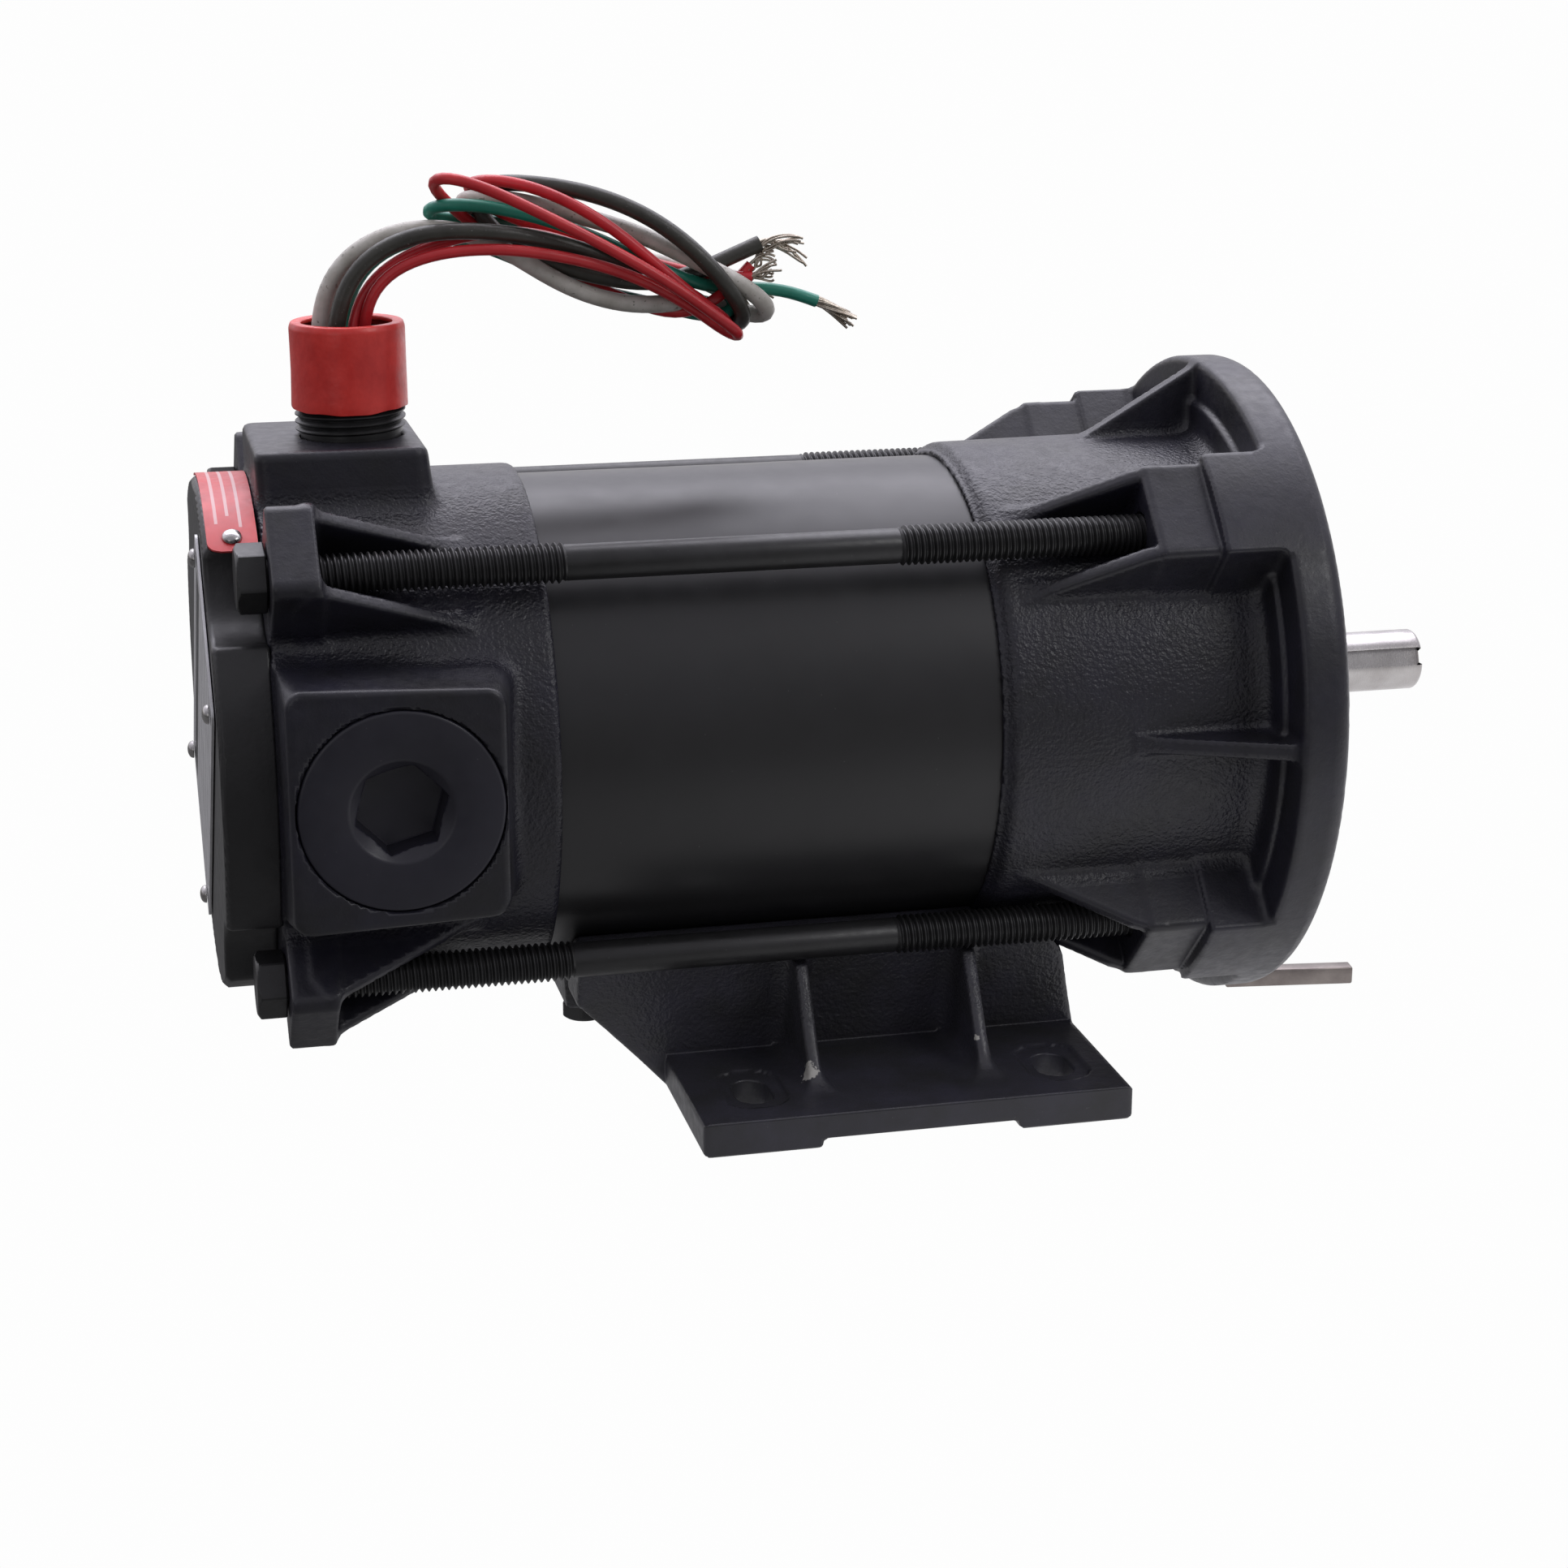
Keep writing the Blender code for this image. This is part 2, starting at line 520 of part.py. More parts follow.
def build_base():
    reach = FOOT_HALF_WIDTH
    floor = -SHAFT_HEIGHT
    top = floor + FOOT_PLATE
    saddle = SHELL_RADIUS + GAP
    right = [(reach, floor), (reach, top), (35 * MM, top), (38 * MM, -72 * MM),
             (44.6 * MM, -50.5 * MM), (43 * MM, -47.4 * MM), (37 * MM, -46.5 * MM)]
    left = [(-y, z) for y, z in reversed(right)]
    hollow = [(-27 * MM, floor), (-27 * MM, -78 * MM), (-20 * MM, -69 * MM),
              (20 * MM, -69 * MM), (27 * MM, -78 * MM), (27 * MM, floor)]
    outline = right + [(0, -56 * MM)] + left + hollow
    body = prism_mesh("foot_base", outline, 0, FOOT_BACK, FOOT_FRONT)
    base = add_piece("foot_base", body, CAST_BLACK)
    for side, name in ((-1, "near"), (1, "far")):
        for number, x in enumerate(GUSSET_X, 1):
            outline = [(side * y * MM, z * MM) for y, z in
                       ((34, -82), (66.5, -82), (66.5, -80.5), (58, -70), (47.5, -52), (44, -50))]
            tag = f"foot_gusset_{name}_{number}"
            add_union(base, tag, prism_mesh(tag, outline, 0, x - GUSSET_HALF, x + GUSSET_HALF))
    inside = FOOT_BACK + 2 * MM
    ear = [(inside, -84 * MM), (-166 * MM, -75.5 * MM), (-174.5 * MM, -72.4 * MM),
           (EAR_END + 0.5 * MM, -71.6 * MM), (EAR_END, -66 * MM), (EAR_END, -55 * MM),
           (inside, -55 * MM)]
    add_union(base, "base_ear", prism_mesh("base_ear", ear, 1, -EAR_HALF_WIDTH, EAR_HALF_WIDTH))
    under = [(FOOT_BACK + 0.4 * MM, -89.2 * MM), (-174.5 * MM, -71.5 * MM), (EAR_END, -64 * MM),
             (EAR_END - 5 * MM, -58 * MM), (EAR_END - 5 * MM, -95 * MM),
             (FOOT_BACK + 0.4 * MM, -95 * MM)]
    for side, name in ((-1, "near"), (1, "far")):
        wing = [(side * y * MM, z * MM) for y, z in
                ((26, -88.2), (36.2, -88.2), (36.2, -80), (38, -72), (44.6, -50.5), (43, -47.4),
                 (37, -46.5), (26, -50))]
        tool = prism_mesh(f"base_wing_{name}", wing, 0, EAR_END, inside)
        add_union(base, f"base_wing_{name}", tool)
        first, last = sorted((side * 23 * MM, side * 60 * MM))
        tool = add_cutter(f"wing_slant_{name}",
                          prism_mesh(f"wing_slant_{name}", under, 1, first, last))
        boolean(base, tool, "DIFFERENCE")
    add_rod_cut(base, "saddle_cut", saddle, (-185 * MM, 0, 0), (-48 * MM, 0, 0), COARSE)
    relief = block_mesh("foot_relief", (-130 * MM, -100 * MM, floor - 5 * MM),
                        (-81 * MM, 100 * MM, floor + 2.2 * MM))
    tool = add_cutter("foot_relief", relief)
    boolean(base, tool, "DIFFERENCE")
    for x in FOOT_HOLE_X:
        for y in (-FOOT_HOLE_Y, FOOT_HOLE_Y):
            tag = f"foot_slot_{int(-x * 1000)}_{'near' if y < 0 else 'far'}"
            half = FOOT_SLOT_LENGTH / 2 - FOOT_SLOT_RADIUS
            outline = stadium((x, y), half, FOOT_SLOT_RADIUS, 8)
            slot = add_cutter(tag, prism_mesh(tag, outline, 2, floor - 5 * MM, top + 5 * MM))
            boolean(base, slot, "DIFFERENCE")
    add_rod_cut(base, "base_bolt_hole_rear", BASE_HOLE_RADIUS, (-174 * MM, -6 * MM, -90 * MM),
                (-174 * MM, -6 * MM, -55 * MM), 16)
    add_rod_cut(base, "base_bolt_seat_rear", BASE_BOLT_SEAT_RADIUS, (-174 * MM, -6 * MM, -90 * MM),
                (-174 * MM, -6 * MM, -75 * MM), FINE)
    add_rod_cut(base, "base_bolt_hole_front", BASE_HOLE_RADIUS, (-95 * MM, 0, -90 * MM),
                (-95 * MM, 0, -55 * MM), 16)
    add_rod_cut(base, "bell_clearance", FRONT_BELL_RADIUS + 1.2 * MM,
                (FRONT_BELL_REAR - GAP, 0, 0), (-48 * MM, 0, 0), COARSE)
    rib = [(-72.5 * MM, 50 * MM), (-72.5 * MM, 62.4 * MM), (-44 * MM, 79.1 * MM), (-44 * MM, 50 * MM)]
    for angle in (135, 225):
        tag = f"lug_clearance_{angle}"
        tool = add_cutter(tag, prism_mesh(tag, rib, 1, -13.5 * MM, 13.5 * MM, turn_about_x(angle)))
        boolean(base, tool, "DIFFERENCE")
        y, z = at_corner(BOLT_CIRCLE, 0, angle)
        add_rod_cut(base, f"bolt_clearance_{angle}", BOLT_RADIUS + 0.7 * MM, (-190 * MM, y, z),
                    (-40 * MM, y, z))


def stadium(centre, half, radius, steps):
    """A slot outline, long along the second axis."""
    points = []
    for end, start in ((1, 0.0), (-1, math.pi)):
        for i in range(steps + 1):
            angle = start + math.pi * i / steps
            points.append((centre[0] + radius * math.cos(angle),
                           centre[1] + end * half + radius * math.sin(angle)))
    return points


def build_base_bolts():
    for name, x, y, seat in (("base_bolt_rear", -174, -6, -75.0), ("base_bolt_front", -95, 0, -69.0)):
        place = (x * MM, y * MM)
        bolt = add_piece(name, rod_mesh(name, BASE_BOLT_HEAD_RADIUS, (*place, (seat - 4.4) * MM),
                                        (*place, seat * MM - GAP), 6), BOLT_BLACK)
        add_union(bolt, name + "_shank", rod_mesh(name + "_shank", BASE_BOLT_SHANK_RADIUS,
                  (*place, (seat - 2) * MM), (*place, -SHELL_RADIUS - GAP - 0.4 * MM), 12))


# ---------------------------------------------------------------- fasteners and trim

def build_through_bolts():
    for number, angle in enumerate(CORNER_ANGLES, 1):
        y, z = at_corner(BOLT_CIRCLE, 0, angle)
        name = f"through_bolt_{number}"
        head_front = REAR_BELL_BACK - GAP
        bolt = add_piece(name, rod_mesh(name, BOLT_HEAD_RADIUS, (head_front - BOLT_HEAD_HEIGHT, y, z),
                                        (head_front, y, z), 6, phase=math.radians(30)), BOLT_BLACK)
        parts = (("rear_thread", BOLT_RADIUS, head_front - 2 * MM, REAR_THREAD_END),
                 ("shank", BOLT_SHANK_RADIUS, REAR_THREAD_END - 2 * MM, FRONT_THREAD_START + 2 * MM),
                 ("front_thread", BOLT_RADIUS, FRONT_THREAD_START, BOLT_END))
        for part, radius, start, end in parts:
            tag = f"{name}_{part}"
            add_union(bolt, tag, rod_mesh(tag, radius, (start, y, z), (end, y, z), 16))


def build_plugs():
    for side, name in ((-1, "near"), (1, "far")):
        tag = f"brush_plug_{name}"
        plug = add_piece(tag, rod_mesh(tag, PLUG_RADIUS,
                                       (BRUSH_X, side * (PAD_FACE - PLUG_HEAD_DEPTH), 0),
                                       (BRUSH_X, side * PAD_FACE, 0), MEDIUM), SMOOTH_BLACK)
        add_union(plug, tag + "_neck", rod_mesh(tag + "_neck", PLUG_NECK_RADIUS,
                  (BRUSH_X, side * PLUG_INNER_END, 0), (BRUSH_X, side * (PAD_FACE - 2 * MM), 0), MEDIUM))
        add_rod_cut(plug, tag + "_hex", PLUG_SOCKET_RADIUS, (BRUSH_X, side * (PAD_FACE - 11 * MM), 0),
                    (BRUSH_X, side * (PAD_FACE + 2 * MM), 0), 6, phase=math.radians(17))
        add_rod_cut(plug, tag + "_mouth", 9.4 * MM, (BRUSH_X, side * (PAD_FACE - 2.4 * MM), 0),
                    (BRUSH_X, side * (PAD_FACE + 0.2 * MM), 0), MEDIUM, end_radius=SOCKET_MOUTH_RADIUS)


def arc_outline(inner, outer, first, last, steps):
    """A curved strip's outline in Y and Z; angles run from straight up towards the near side."""
    angles = [math.radians(first + (last - first) * i / steps) for i in range(steps + 1)]
    points = [(-outer * math.sin(a), outer * math.cos(a)) for a in angles]
    points += [(-inner * math.sin(a), inner * math.cos(a)) for a in reversed(angles)]
    return points


def build_plates():
    back = COVER_BACK - GAP
    turn = Matrix.Rotation(math.radians(PLATE_TURN), 4, "X")
    plate = add_piece("nameplate", block_mesh("nameplate",
                      (back - PLATE_THICKNESS, -PLATE_LENGTH / 2, -PLATE_WIDTH / 2),
                      (back, PLATE_LENGTH / 2, PLATE_WIDTH / 2), turn), BRIGHT_PLATE)
    head = back - PLATE_THICKNESS - GAP
    number = 0
    for along in (-PIN_SPACING[0] / 2, PIN_SPACING[0] / 2):
        for across in (-PIN_SPACING[1] / 2, PIN_SPACING[1] / 2):
            number += 1
            spot = turn @ Vector((0, along, across))
            place = (spot.y, spot.z)
            add_rod_cut(plate, f"nameplate_hole_{number}", 1.5 * MM, (back - 3 * MM, *place),
                        (back + 3 * MM, *place), 12)
            name = f"nameplate_pin_{number}"
            pin = add_piece(name, rod_mesh(name, PIN_HEAD_RADIUS, (head, *place), (REAR_END, *place), 12,
                                           end_radius=1.2 * MM), STEEL)
            add_union(pin, name + "_body", rod_mesh(name + "_body", 1.1 * MM,
                      (head - 0.4 * MM, *place), (back + 0.05 * MM, *place), 12))
    inner = REAR_BELL_RADIUS + GAP
    outer = inner + LABEL_THICKNESS
    label = add_piece("red_label", prism_mesh("red_label", arc_outline(inner, outer, -15, 34, 8), 0,
                      -264.2 * MM, -252.6 * MM), LABEL_RED)
    y, z = at_corner(1.0, 0, 30)
    x = LABEL_RIVET_X
    add_rod_cut(label, "label_hole", 1.4 * MM, (x, y * 60 * MM, z * 60 * MM),
                (x, y * 70 * MM, z * 70 * MM), 12)
    low = outer + GAP
    rivet = add_piece("label_rivet", rod_mesh("label_rivet", 2.2 * MM, (x, y * low, z * low),
                      (x, y * (low + 1.2 * MM), z * (low + 1.2 * MM)), 12, end_radius=1.3 * MM), STEEL)
    low = inner + 0.1 * MM
    high = outer + 0.6 * MM
    add_union(rivet, "label_rivet_body", rod_mesh("label_rivet_body", 1.0 * MM,
              (x, y * low, z * low), (x, y * high, z * high), 12))


def build_conduit():
    place = (CONDUIT_X, 0)
    add_turned("conduit_nipple", [
        (NIPPLE_TOP, NIPPLE_BORE), (NIPPLE_TOP, NIPPLE_RADIUS - 0.8 * MM),
        (NIPPLE_TOP - 0.8 * MM, NIPPLE_RADIUS), (THREAD_BOTTOM, NIPPLE_RADIUS),
        (THREAD_BOTTOM - 1.2 * MM, NIPPLE_NECK_RADIUS), (NIPPLE_BOTTOM, NIPPLE_NECK_RADIUS),
        (NIPPLE_BOTTOM, NIPPLE_BORE),
    ], SMOOTH_BLACK, MEDIUM, upright=place)
    cap_inner = NIPPLE_RADIUS + GAP * 0.7
    add_turned("thread_protector", [
        (CAP_TOP, CAP_BORE), (CAP_TOP, CAP_RADIUS - 0.5 * MM), (CAP_TOP - 0.5 * MM, CAP_RADIUS),
        (CAP_BOTTOM, CAP_RADIUS), (CAP_BOTTOM, cap_inner), (NIPPLE_TOP + GAP, cap_inner),
        (NIPPLE_TOP + GAP, CAP_BORE),
    ], RED_PLASTIC, MEDIUM, upright=place)
    add_turned("lead_seal", [(SEAL_TOP, 0), (SEAL_TOP, NIPPLE_BORE - GAP), (SEAL_BOTTOM, NIPPLE_BORE - GAP),
                             (SEAL_BOTTOM, 0)], COMPOUND, FINE, on_axis=True, upright=place)


# ---------------------------------------------------------------- inside

def build_magnets():
    for number, turn in ((1, 0), (2, 180)):
        name = f"magnet_{number}"
        steps = 14
        span = math.radians(134)
        start = math.radians(90 + turn) - span / 2
        angles = [start + span * i / steps for i in range(steps + 1)]
        outline = [(MAGNET_OUTER * math.cos(a), MAGNET_OUTER * math.sin(a)) for a in angles]
        outline += [(MAGNET_INNER * math.cos(a), MAGNET_INNER * math.sin(a)) for a in reversed(angles)]
        add_piece(name, prism_mesh(name, outline, 0, CORE_BACK - 4 * MM, CORE_FRONT + 4 * MM), FERRITE)


def build_shaft():
    end = SHAFT_END
    profile = [
        (end, 0), (end, SHAFT_RADIUS - 0.7 * MM), (end - 0.7 * MM, SHAFT_RADIUS),
        (-11 * MM, SHAFT_RADIUS), (-11 * MM, BEARING_BORE - GAP), (-28 * MM, BEARING_BORE - GAP),
        (-28 * MM, 11 * MM), (CORE_FRONT + 14 * MM, 11 * MM), (CORE_FRONT + 14 * MM, ROTOR_SEAT_RADIUS),
        (-238.4 * MM, ROTOR_SEAT_RADIUS), (-238.4 * MM, BEARING_BORE - GAP),
        (-252.6 * MM, BEARING_BORE - GAP),
        (-252.6 * MM, 0),
    ]
    shaft = add_turned("shaft", profile, STEEL, MEDIUM, on_axis=True)
    floor = SHAFT_RADIUS - 2.45 * MM
    seat = block_mesh("keyseat", (end - KEYSEAT_LENGTH, -KEY_SIDE / 2, floor),
                      (end + 5 * MM, KEY_SIDE / 2, 12 * MM), turn_about_x(KEYSEAT_ANGLE))
    boolean(shaft, add_cutter("keyseat", seat), "DIFFERENCE")


def notched_outline(radius, slot_floor, count, slot_width, arc_steps):
    """A disc with straight-sided open slots round its rim."""
    points = []
    outer_half = math.asin(slot_width / 2 / radius)
    inner_half = math.asin(slot_width / 2 / slot_floor)
    pitch = 2 * math.pi / count
    for tooth in range(count):
        centre = tooth * pitch
        for turn in (centre - inner_half, centre + inner_half):
            points.append((slot_floor * math.cos(turn), slot_floor * math.sin(turn)))
        first = centre + outer_half
        last = centre + pitch - outer_half
        for i in range(arc_steps + 1):
            angle = first + (last - first) * i / arc_steps
            points.append((radius * math.cos(angle), radius * math.sin(angle)))
    return points


def end_winding_profile(start, end):
    return [(start, 16 * MM), (start, 30 * MM), (start + 3 * MM, 35 * MM), (end - 3 * MM, 37.5 * MM),
            (end, 36 * MM), (end, 16 * MM)]


def build_armature():
    core = add_piece("armature_core", prism_mesh(
        "armature_core", notched_outline(CORE_RADIUS, 27 * MM, CORE_SLOTS, 6.4 * MM, 3), 0,
        CORE_BACK, CORE_FRONT), LAMINATION)
    add_rod_cut(core, "core_bore", ROTOR_SEAT_RADIUS + GAP, (CORE_BACK - 5 * MM, 0, 0),
                (CORE_FRONT + 5 * MM, 0, 0), MEDIUM)
    rear = (CORE_BACK - 13 * MM, CORE_BACK - GAP)
    front = (CORE_FRONT + GAP, CORE_FRONT + 13 * MM)
    winding = add_turned("armature_winding", end_winding_profile(*rear), ENAMEL, MEDIUM)
    other = add_cutter("winding_front", lathe_mesh("winding_front", end_winding_profile(*front), False))
    lay_along_x(other)
    add_screw(other, MEDIUM)
    boolean(winding, other, "UNION")
    for number in range(CORE_SLOTS):
        tag = f"winding_bar_{number + 1}"
        turn = Matrix.Rotation(2 * math.pi * number / CORE_SLOTS, 4, "X")
        add_union(winding, tag, block_mesh(tag, (rear[1] - 2 * MM, 27.6 * MM, -2.8 * MM),
                                           (front[0] + 2 * MM, 36.4 * MM, 2.8 * MM), turn))
    commutator = add_piece("commutator", prism_mesh(
        "commutator", notched_outline(COMMUTATOR_RADIUS, 20.6 * MM, 18, 0.9 * MM, 1), 0,
        -237.2 * MM, COMMUTATOR_FRONT), COPPER)
    add_rod_cut(commutator, "commutator_bore", ROTOR_SEAT_RADIUS + GAP,
                (-240 * MM, 0, 0), (-205 * MM, 0, 0), MEDIUM)
    add_union(commutator, "commutator_riser", rod_mesh(
        "commutator_riser", 25 * MM, (-213.6 * MM, 0, 0), (-209 * MM, 0, 0), 48))
    riser_bore = add_cutter("riser_bore", rod_mesh("riser_bore", ROTOR_SEAT_RADIUS + GAP, (-240 * MM, 0, 0),
                                                   (-200 * MM, 0, 0), MEDIUM))
    boolean(commutator, riser_bore, "DIFFERENCE")


def build_bearings():
    for name, back in (("front_bearing", FRONT_BEARING_X), ("rear_bearing", REAR_BEARING_X)):
        front = back + BEARING_WIDTH
        middle = (back + front) / 2
        ball = 3.0 * MM
        pitch = (BEARING_OUTER + BEARING_BORE) / 2
        add_turned(name + "_outer", [(back, BEARING_OUTER), (front, BEARING_OUTER), (front, 17 * MM),
                   (back, 17 * MM)], STEEL, MEDIUM)
        add_turned(name + "_inner", [(back, INNER_RING_RADIUS), (front, INNER_RING_RADIUS),
                   (front, BEARING_BORE),
                   (back, BEARING_BORE)], STEEL, MEDIUM)
        row = [(middle + ball * 0.85 * math.cos(a), pitch + ball * 0.8 * math.sin(a))
               for a in [math.pi * 2 * i / 8 for i in range(8)]]
        add_turned(name + "_balls", row, STEEL, FINE)


def build_springs_and_brushes():
    for side, name in ((-1, "near"), (1, "far")):
        contact = COMMUTATOR_RADIUS + GAP
        tag = f"brush_{name}"
        brush = add_piece(tag, block_mesh(tag, (BRUSH_X - BRUSH_WIDTH / 2, -BRUSH_HEIGHT / 2, 18 * MM),
                          (BRUSH_X + BRUSH_WIDTH / 2, BRUSH_HEIGHT / 2, contact + BRUSH_LENGTH),
                          turn_about_x(-90 * side)), CARBON)
        add_rod_cut(brush, tag + "_face", contact, (-250 * MM, 0, 0), (-200 * MM, 0, 0), COARSE)
        wide = BRUSH_WIDTH / 2 + GAP
        tall = BRUSH_HEIGHT / 2 + GAP
        wall = 1.8 * MM
        tag = f"brush_holder_{name}"
        holder = add_piece(tag, block_mesh(tag, (BRUSH_X - wide - wall, -tall - wall, 26 * MM),
                           (BRUSH_X + wide + wall, tall + wall, 58 * MM),
                           turn_about_x(-90 * side)), BRASS)
        inside = block_mesh(tag + "_bore", (BRUSH_X - wide, -tall, 20 * MM),
                            (BRUSH_X + wide, tall, 70 * MM),
                            turn_about_x(-90 * side))
        boolean(holder, add_cutter(tag + "_bore", inside), "DIFFERENCE")
        start = contact + BRUSH_LENGTH + GAP + SPRING_WIRE
        end = PLUG_INNER_END - GAP - SPRING_WIRE
        add_spring(f"brush_spring_{name}", side, start, end)
    add_turned("brush_ring", [(-219 * MM + 0.5 * MM, 28 * MM), (-219 * MM + 0.5 * MM, 54 * MM),
               (-214.5 * MM, 54 * MM), (-214.5 * MM, 28 * MM)], PHENOLIC, MEDIUM)


def add_spring(name, side, start, end):
    """A compression spring along Y, as a helix of wire."""
    per_turn = 9
    count = SPRING_TURNS * per_turn + 1
    points = []
    for i in range(count):
        share = i / (count - 1)
        angle = 2 * math.pi * SPRING_TURNS * share
        points.append((BRUSH_X + SPRING_RADIUS * math.cos(angle), side * (start + (end - start) * share),
                       SPRING_RADIUS * math.sin(angle)))
    add_wire(name, points, SPRING_WIRE, STEEL, 1)


def add_wire(name, points, radius, look, resolution=2):
    curve = bpy.data.curves.new(name, "CURVE")
    curve.dimensions = "3D"
    curve.bevel_depth = radius
    curve.bevel_resolution = resolution
    curve.use_fill_caps = True
    spline = curve.splines.new("POLY")
    spline.points.add(len(points) - 1)
    for point, place in zip(spline.points, points):
        point.co = (*place, 1.0)
    obj = bpy.data.objects.new(name, curve)
    obj.parent = ROOT
    MOTOR.objects.link(obj)
    curve.materials.append(make_material(name, *look))
    return obj


def build_small_parts():
    add_turned("shaft_seal", [(-13.8 * MM, 8.6 * MM), (-13.8 * MM, 14.6 * MM),
               (-10.4 * MM, 14.6 * MM), (-10.4 * MM, 8.6 * MM)], RUBBER, MEDIUM)
    seat = FRONT_BEARING_X - GAP
    add_turned("retaining_ring", [(seat - 1.1 * MM, 11.4 * MM), (seat - 1.1 * MM, 14 * MM),
               (seat, 14 * MM), (seat, 11.4 * MM)], STEEL, FINE)
    cup = REAR_BEARING_X - GAP
    add_turned("wave_washer", [(cup - 0.45 * MM, 15.6 * MM), (cup - 0.45 * MM, 19.4 * MM),
               (cup, 19.4 * MM), (cup, 15.6 * MM)], STEEL, FINE)


def build_key():
    key = add_piece("shaft_key", block_mesh("shaft_key", (0, -KEY_SIDE / 2, 0),
                    (KEY_LENGTH, KEY_SIDE / 2, KEY_SIDE)), STEEL)
    key.location = (3.4 * MM, 0.6 * MM, -SHAFT_HEIGHT)
    key.rotation_euler = (0, 0, math.radians(-8.1))


# ---------------------------------------------------------------- leads

def smooth_route(points, spacing):
    """Points at about an even spacing on a smooth curve through the route's own points."""
    given = [Vector(p) * MM for p in points]
    padded = [given[0] * 2 - given[1]] + given + [given[-1] * 2 - given[-2]]
    route = []
    for a, b, c, d in zip(padded, padded[1:], padded[2:], padded[3:]):
        steps = max(1, round((c - b).length / spacing))
        for i in range(steps):
            t = i / steps
            route.append(0.5 * ((2 * b) + (c - a) * t + (2 * a - 5 * b + 4 * c - d) * t * t
                                + (3 * b - a - 3 * c + d) * t ** 3))
    route.append(given[-1])
    return route


def build_leads():
    for name, (radius, points) in LEADS.items():
        look = (LEAD_COLOURS[name], 0.5, 0.0)
        add_wire(name, smooth_route(points, radius * 2.4), radius, look, 2)
    start = Vector(HANK_START) * MM
    end = Vector(HANK_END) * MM
    slope = math.atan2(end.y - start.y, end.x - start.x)
    steps = 10
    outline = []
    for centre, first in ((end, slope - math.pi / 2), (start, slope + math.pi / 2)):
        for i in range(steps + 1):
            angle = first + math.pi * i / steps
            outline.append((centre.x + HANK_RADIUS * MM * math.cos(angle),
                            centre.y + HANK_RADIUS * MM * math.sin(angle)))
    half = HANK_HALF_WIDTH * MM
    add_piece("lead_hank", prism_mesh("lead_hank", outline, 1, -half, half),
              (LEAD_COLOURS["lead_hank"], 0.5, 0.0))


build_shell()
build_front_bell()
build_rear_bell()
build_rear_cover()
build_base()
build_base_bolts()
build_through_bolts()
build_plugs()
build_plates()
build_conduit()
build_magnets()
build_shaft()
build_armature()
build_bearings()
build_springs_and_brushes()
build_small_parts()
build_key()
build_leads()
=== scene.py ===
"""Looks of the explosion-proof DC motor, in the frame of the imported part.

Sizes are in millimetres from the middle of the mounting face on the shaft axis: x runs
along the shaft, z up. Objects stand at that point, so a piece's own coordinates are those.
"""

import math

import bmesh
import bpy
import numpy as np
from mathutils import Matrix, Vector


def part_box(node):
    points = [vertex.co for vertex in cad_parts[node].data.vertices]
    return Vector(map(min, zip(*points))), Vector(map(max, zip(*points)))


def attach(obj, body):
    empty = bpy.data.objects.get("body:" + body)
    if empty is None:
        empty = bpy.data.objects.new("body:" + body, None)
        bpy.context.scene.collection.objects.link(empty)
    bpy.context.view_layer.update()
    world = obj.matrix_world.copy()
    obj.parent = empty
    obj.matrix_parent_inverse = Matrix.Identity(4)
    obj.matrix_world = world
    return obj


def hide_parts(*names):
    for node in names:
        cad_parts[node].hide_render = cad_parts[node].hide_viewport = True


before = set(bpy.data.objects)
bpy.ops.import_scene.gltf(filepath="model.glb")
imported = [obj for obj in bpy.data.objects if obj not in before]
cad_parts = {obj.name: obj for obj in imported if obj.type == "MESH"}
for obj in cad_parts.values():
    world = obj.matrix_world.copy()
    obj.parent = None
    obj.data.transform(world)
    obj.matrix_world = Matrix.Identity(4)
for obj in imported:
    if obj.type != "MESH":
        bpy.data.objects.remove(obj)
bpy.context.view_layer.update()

MM = 0.001
ROOT2 = math.sqrt(2.0)
PILOT = 4.0 * MM
SHELL_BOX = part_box("frame_shell")
ORIGIN = Vector((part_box("front_end_bell")[1].x - PILOT, 0.0,
                 (SHELL_BOX[0].z + SHELL_BOX[1].z) / 2))
FLOOR = -ORIGIN.z / MM
SHELL_RADIUS = (SHELL_BOX[1].z - SHELL_BOX[0].z) / 2 / MM
BOLT_CIRCLE = 69.0
BOLT_HOLE = 5.06
FLANGE_RADIUS = 82.6
BELL_BACK = -252.0
SPIGOT_RADIUS = 59.5
BEARING_BORE = 20.3
BRUSH_X = -226.3
PAD_FACE = 77.5
CONDUIT_X = -227.1
BASE_SCREW_HOLE = 2.9
BASE_SPOTFACE = 7.2
BASE_SCREWS = {"base_bolt_rear": (-174.0, -6.0, -75.0), "base_bolt_front": (-95.0, 0.0, -69.0)}
CAMERA_LENS = 71.09
CAMERA_PLACE = (-297.4, -742.4, 203.8)
CAMERA_TILT = 73.441
CAMERA_HEADING = -13.441


# ---------------------------------------------------------------- camera

scene = bpy.context.scene
scene.view_settings.view_transform = "Standard"
camera_data = bpy.data.cameras.new("camera")
camera_data.lens = CAMERA_LENS
camera_data.sensor_width = 36.0
camera_data.clip_end = 20.0
camera = bpy.data.objects.new("camera", camera_data)
camera.location = ORIGIN + Vector(CAMERA_PLACE) * MM
camera.rotation_euler = (math.radians(CAMERA_TILT), 0.0, math.radians(CAMERA_HEADING))
scene.collection.objects.link(camera)
scene.camera = camera


# ---------------------------------------------------------------- materials

def link(tree, out, into):
    tree.links.new(out, into)


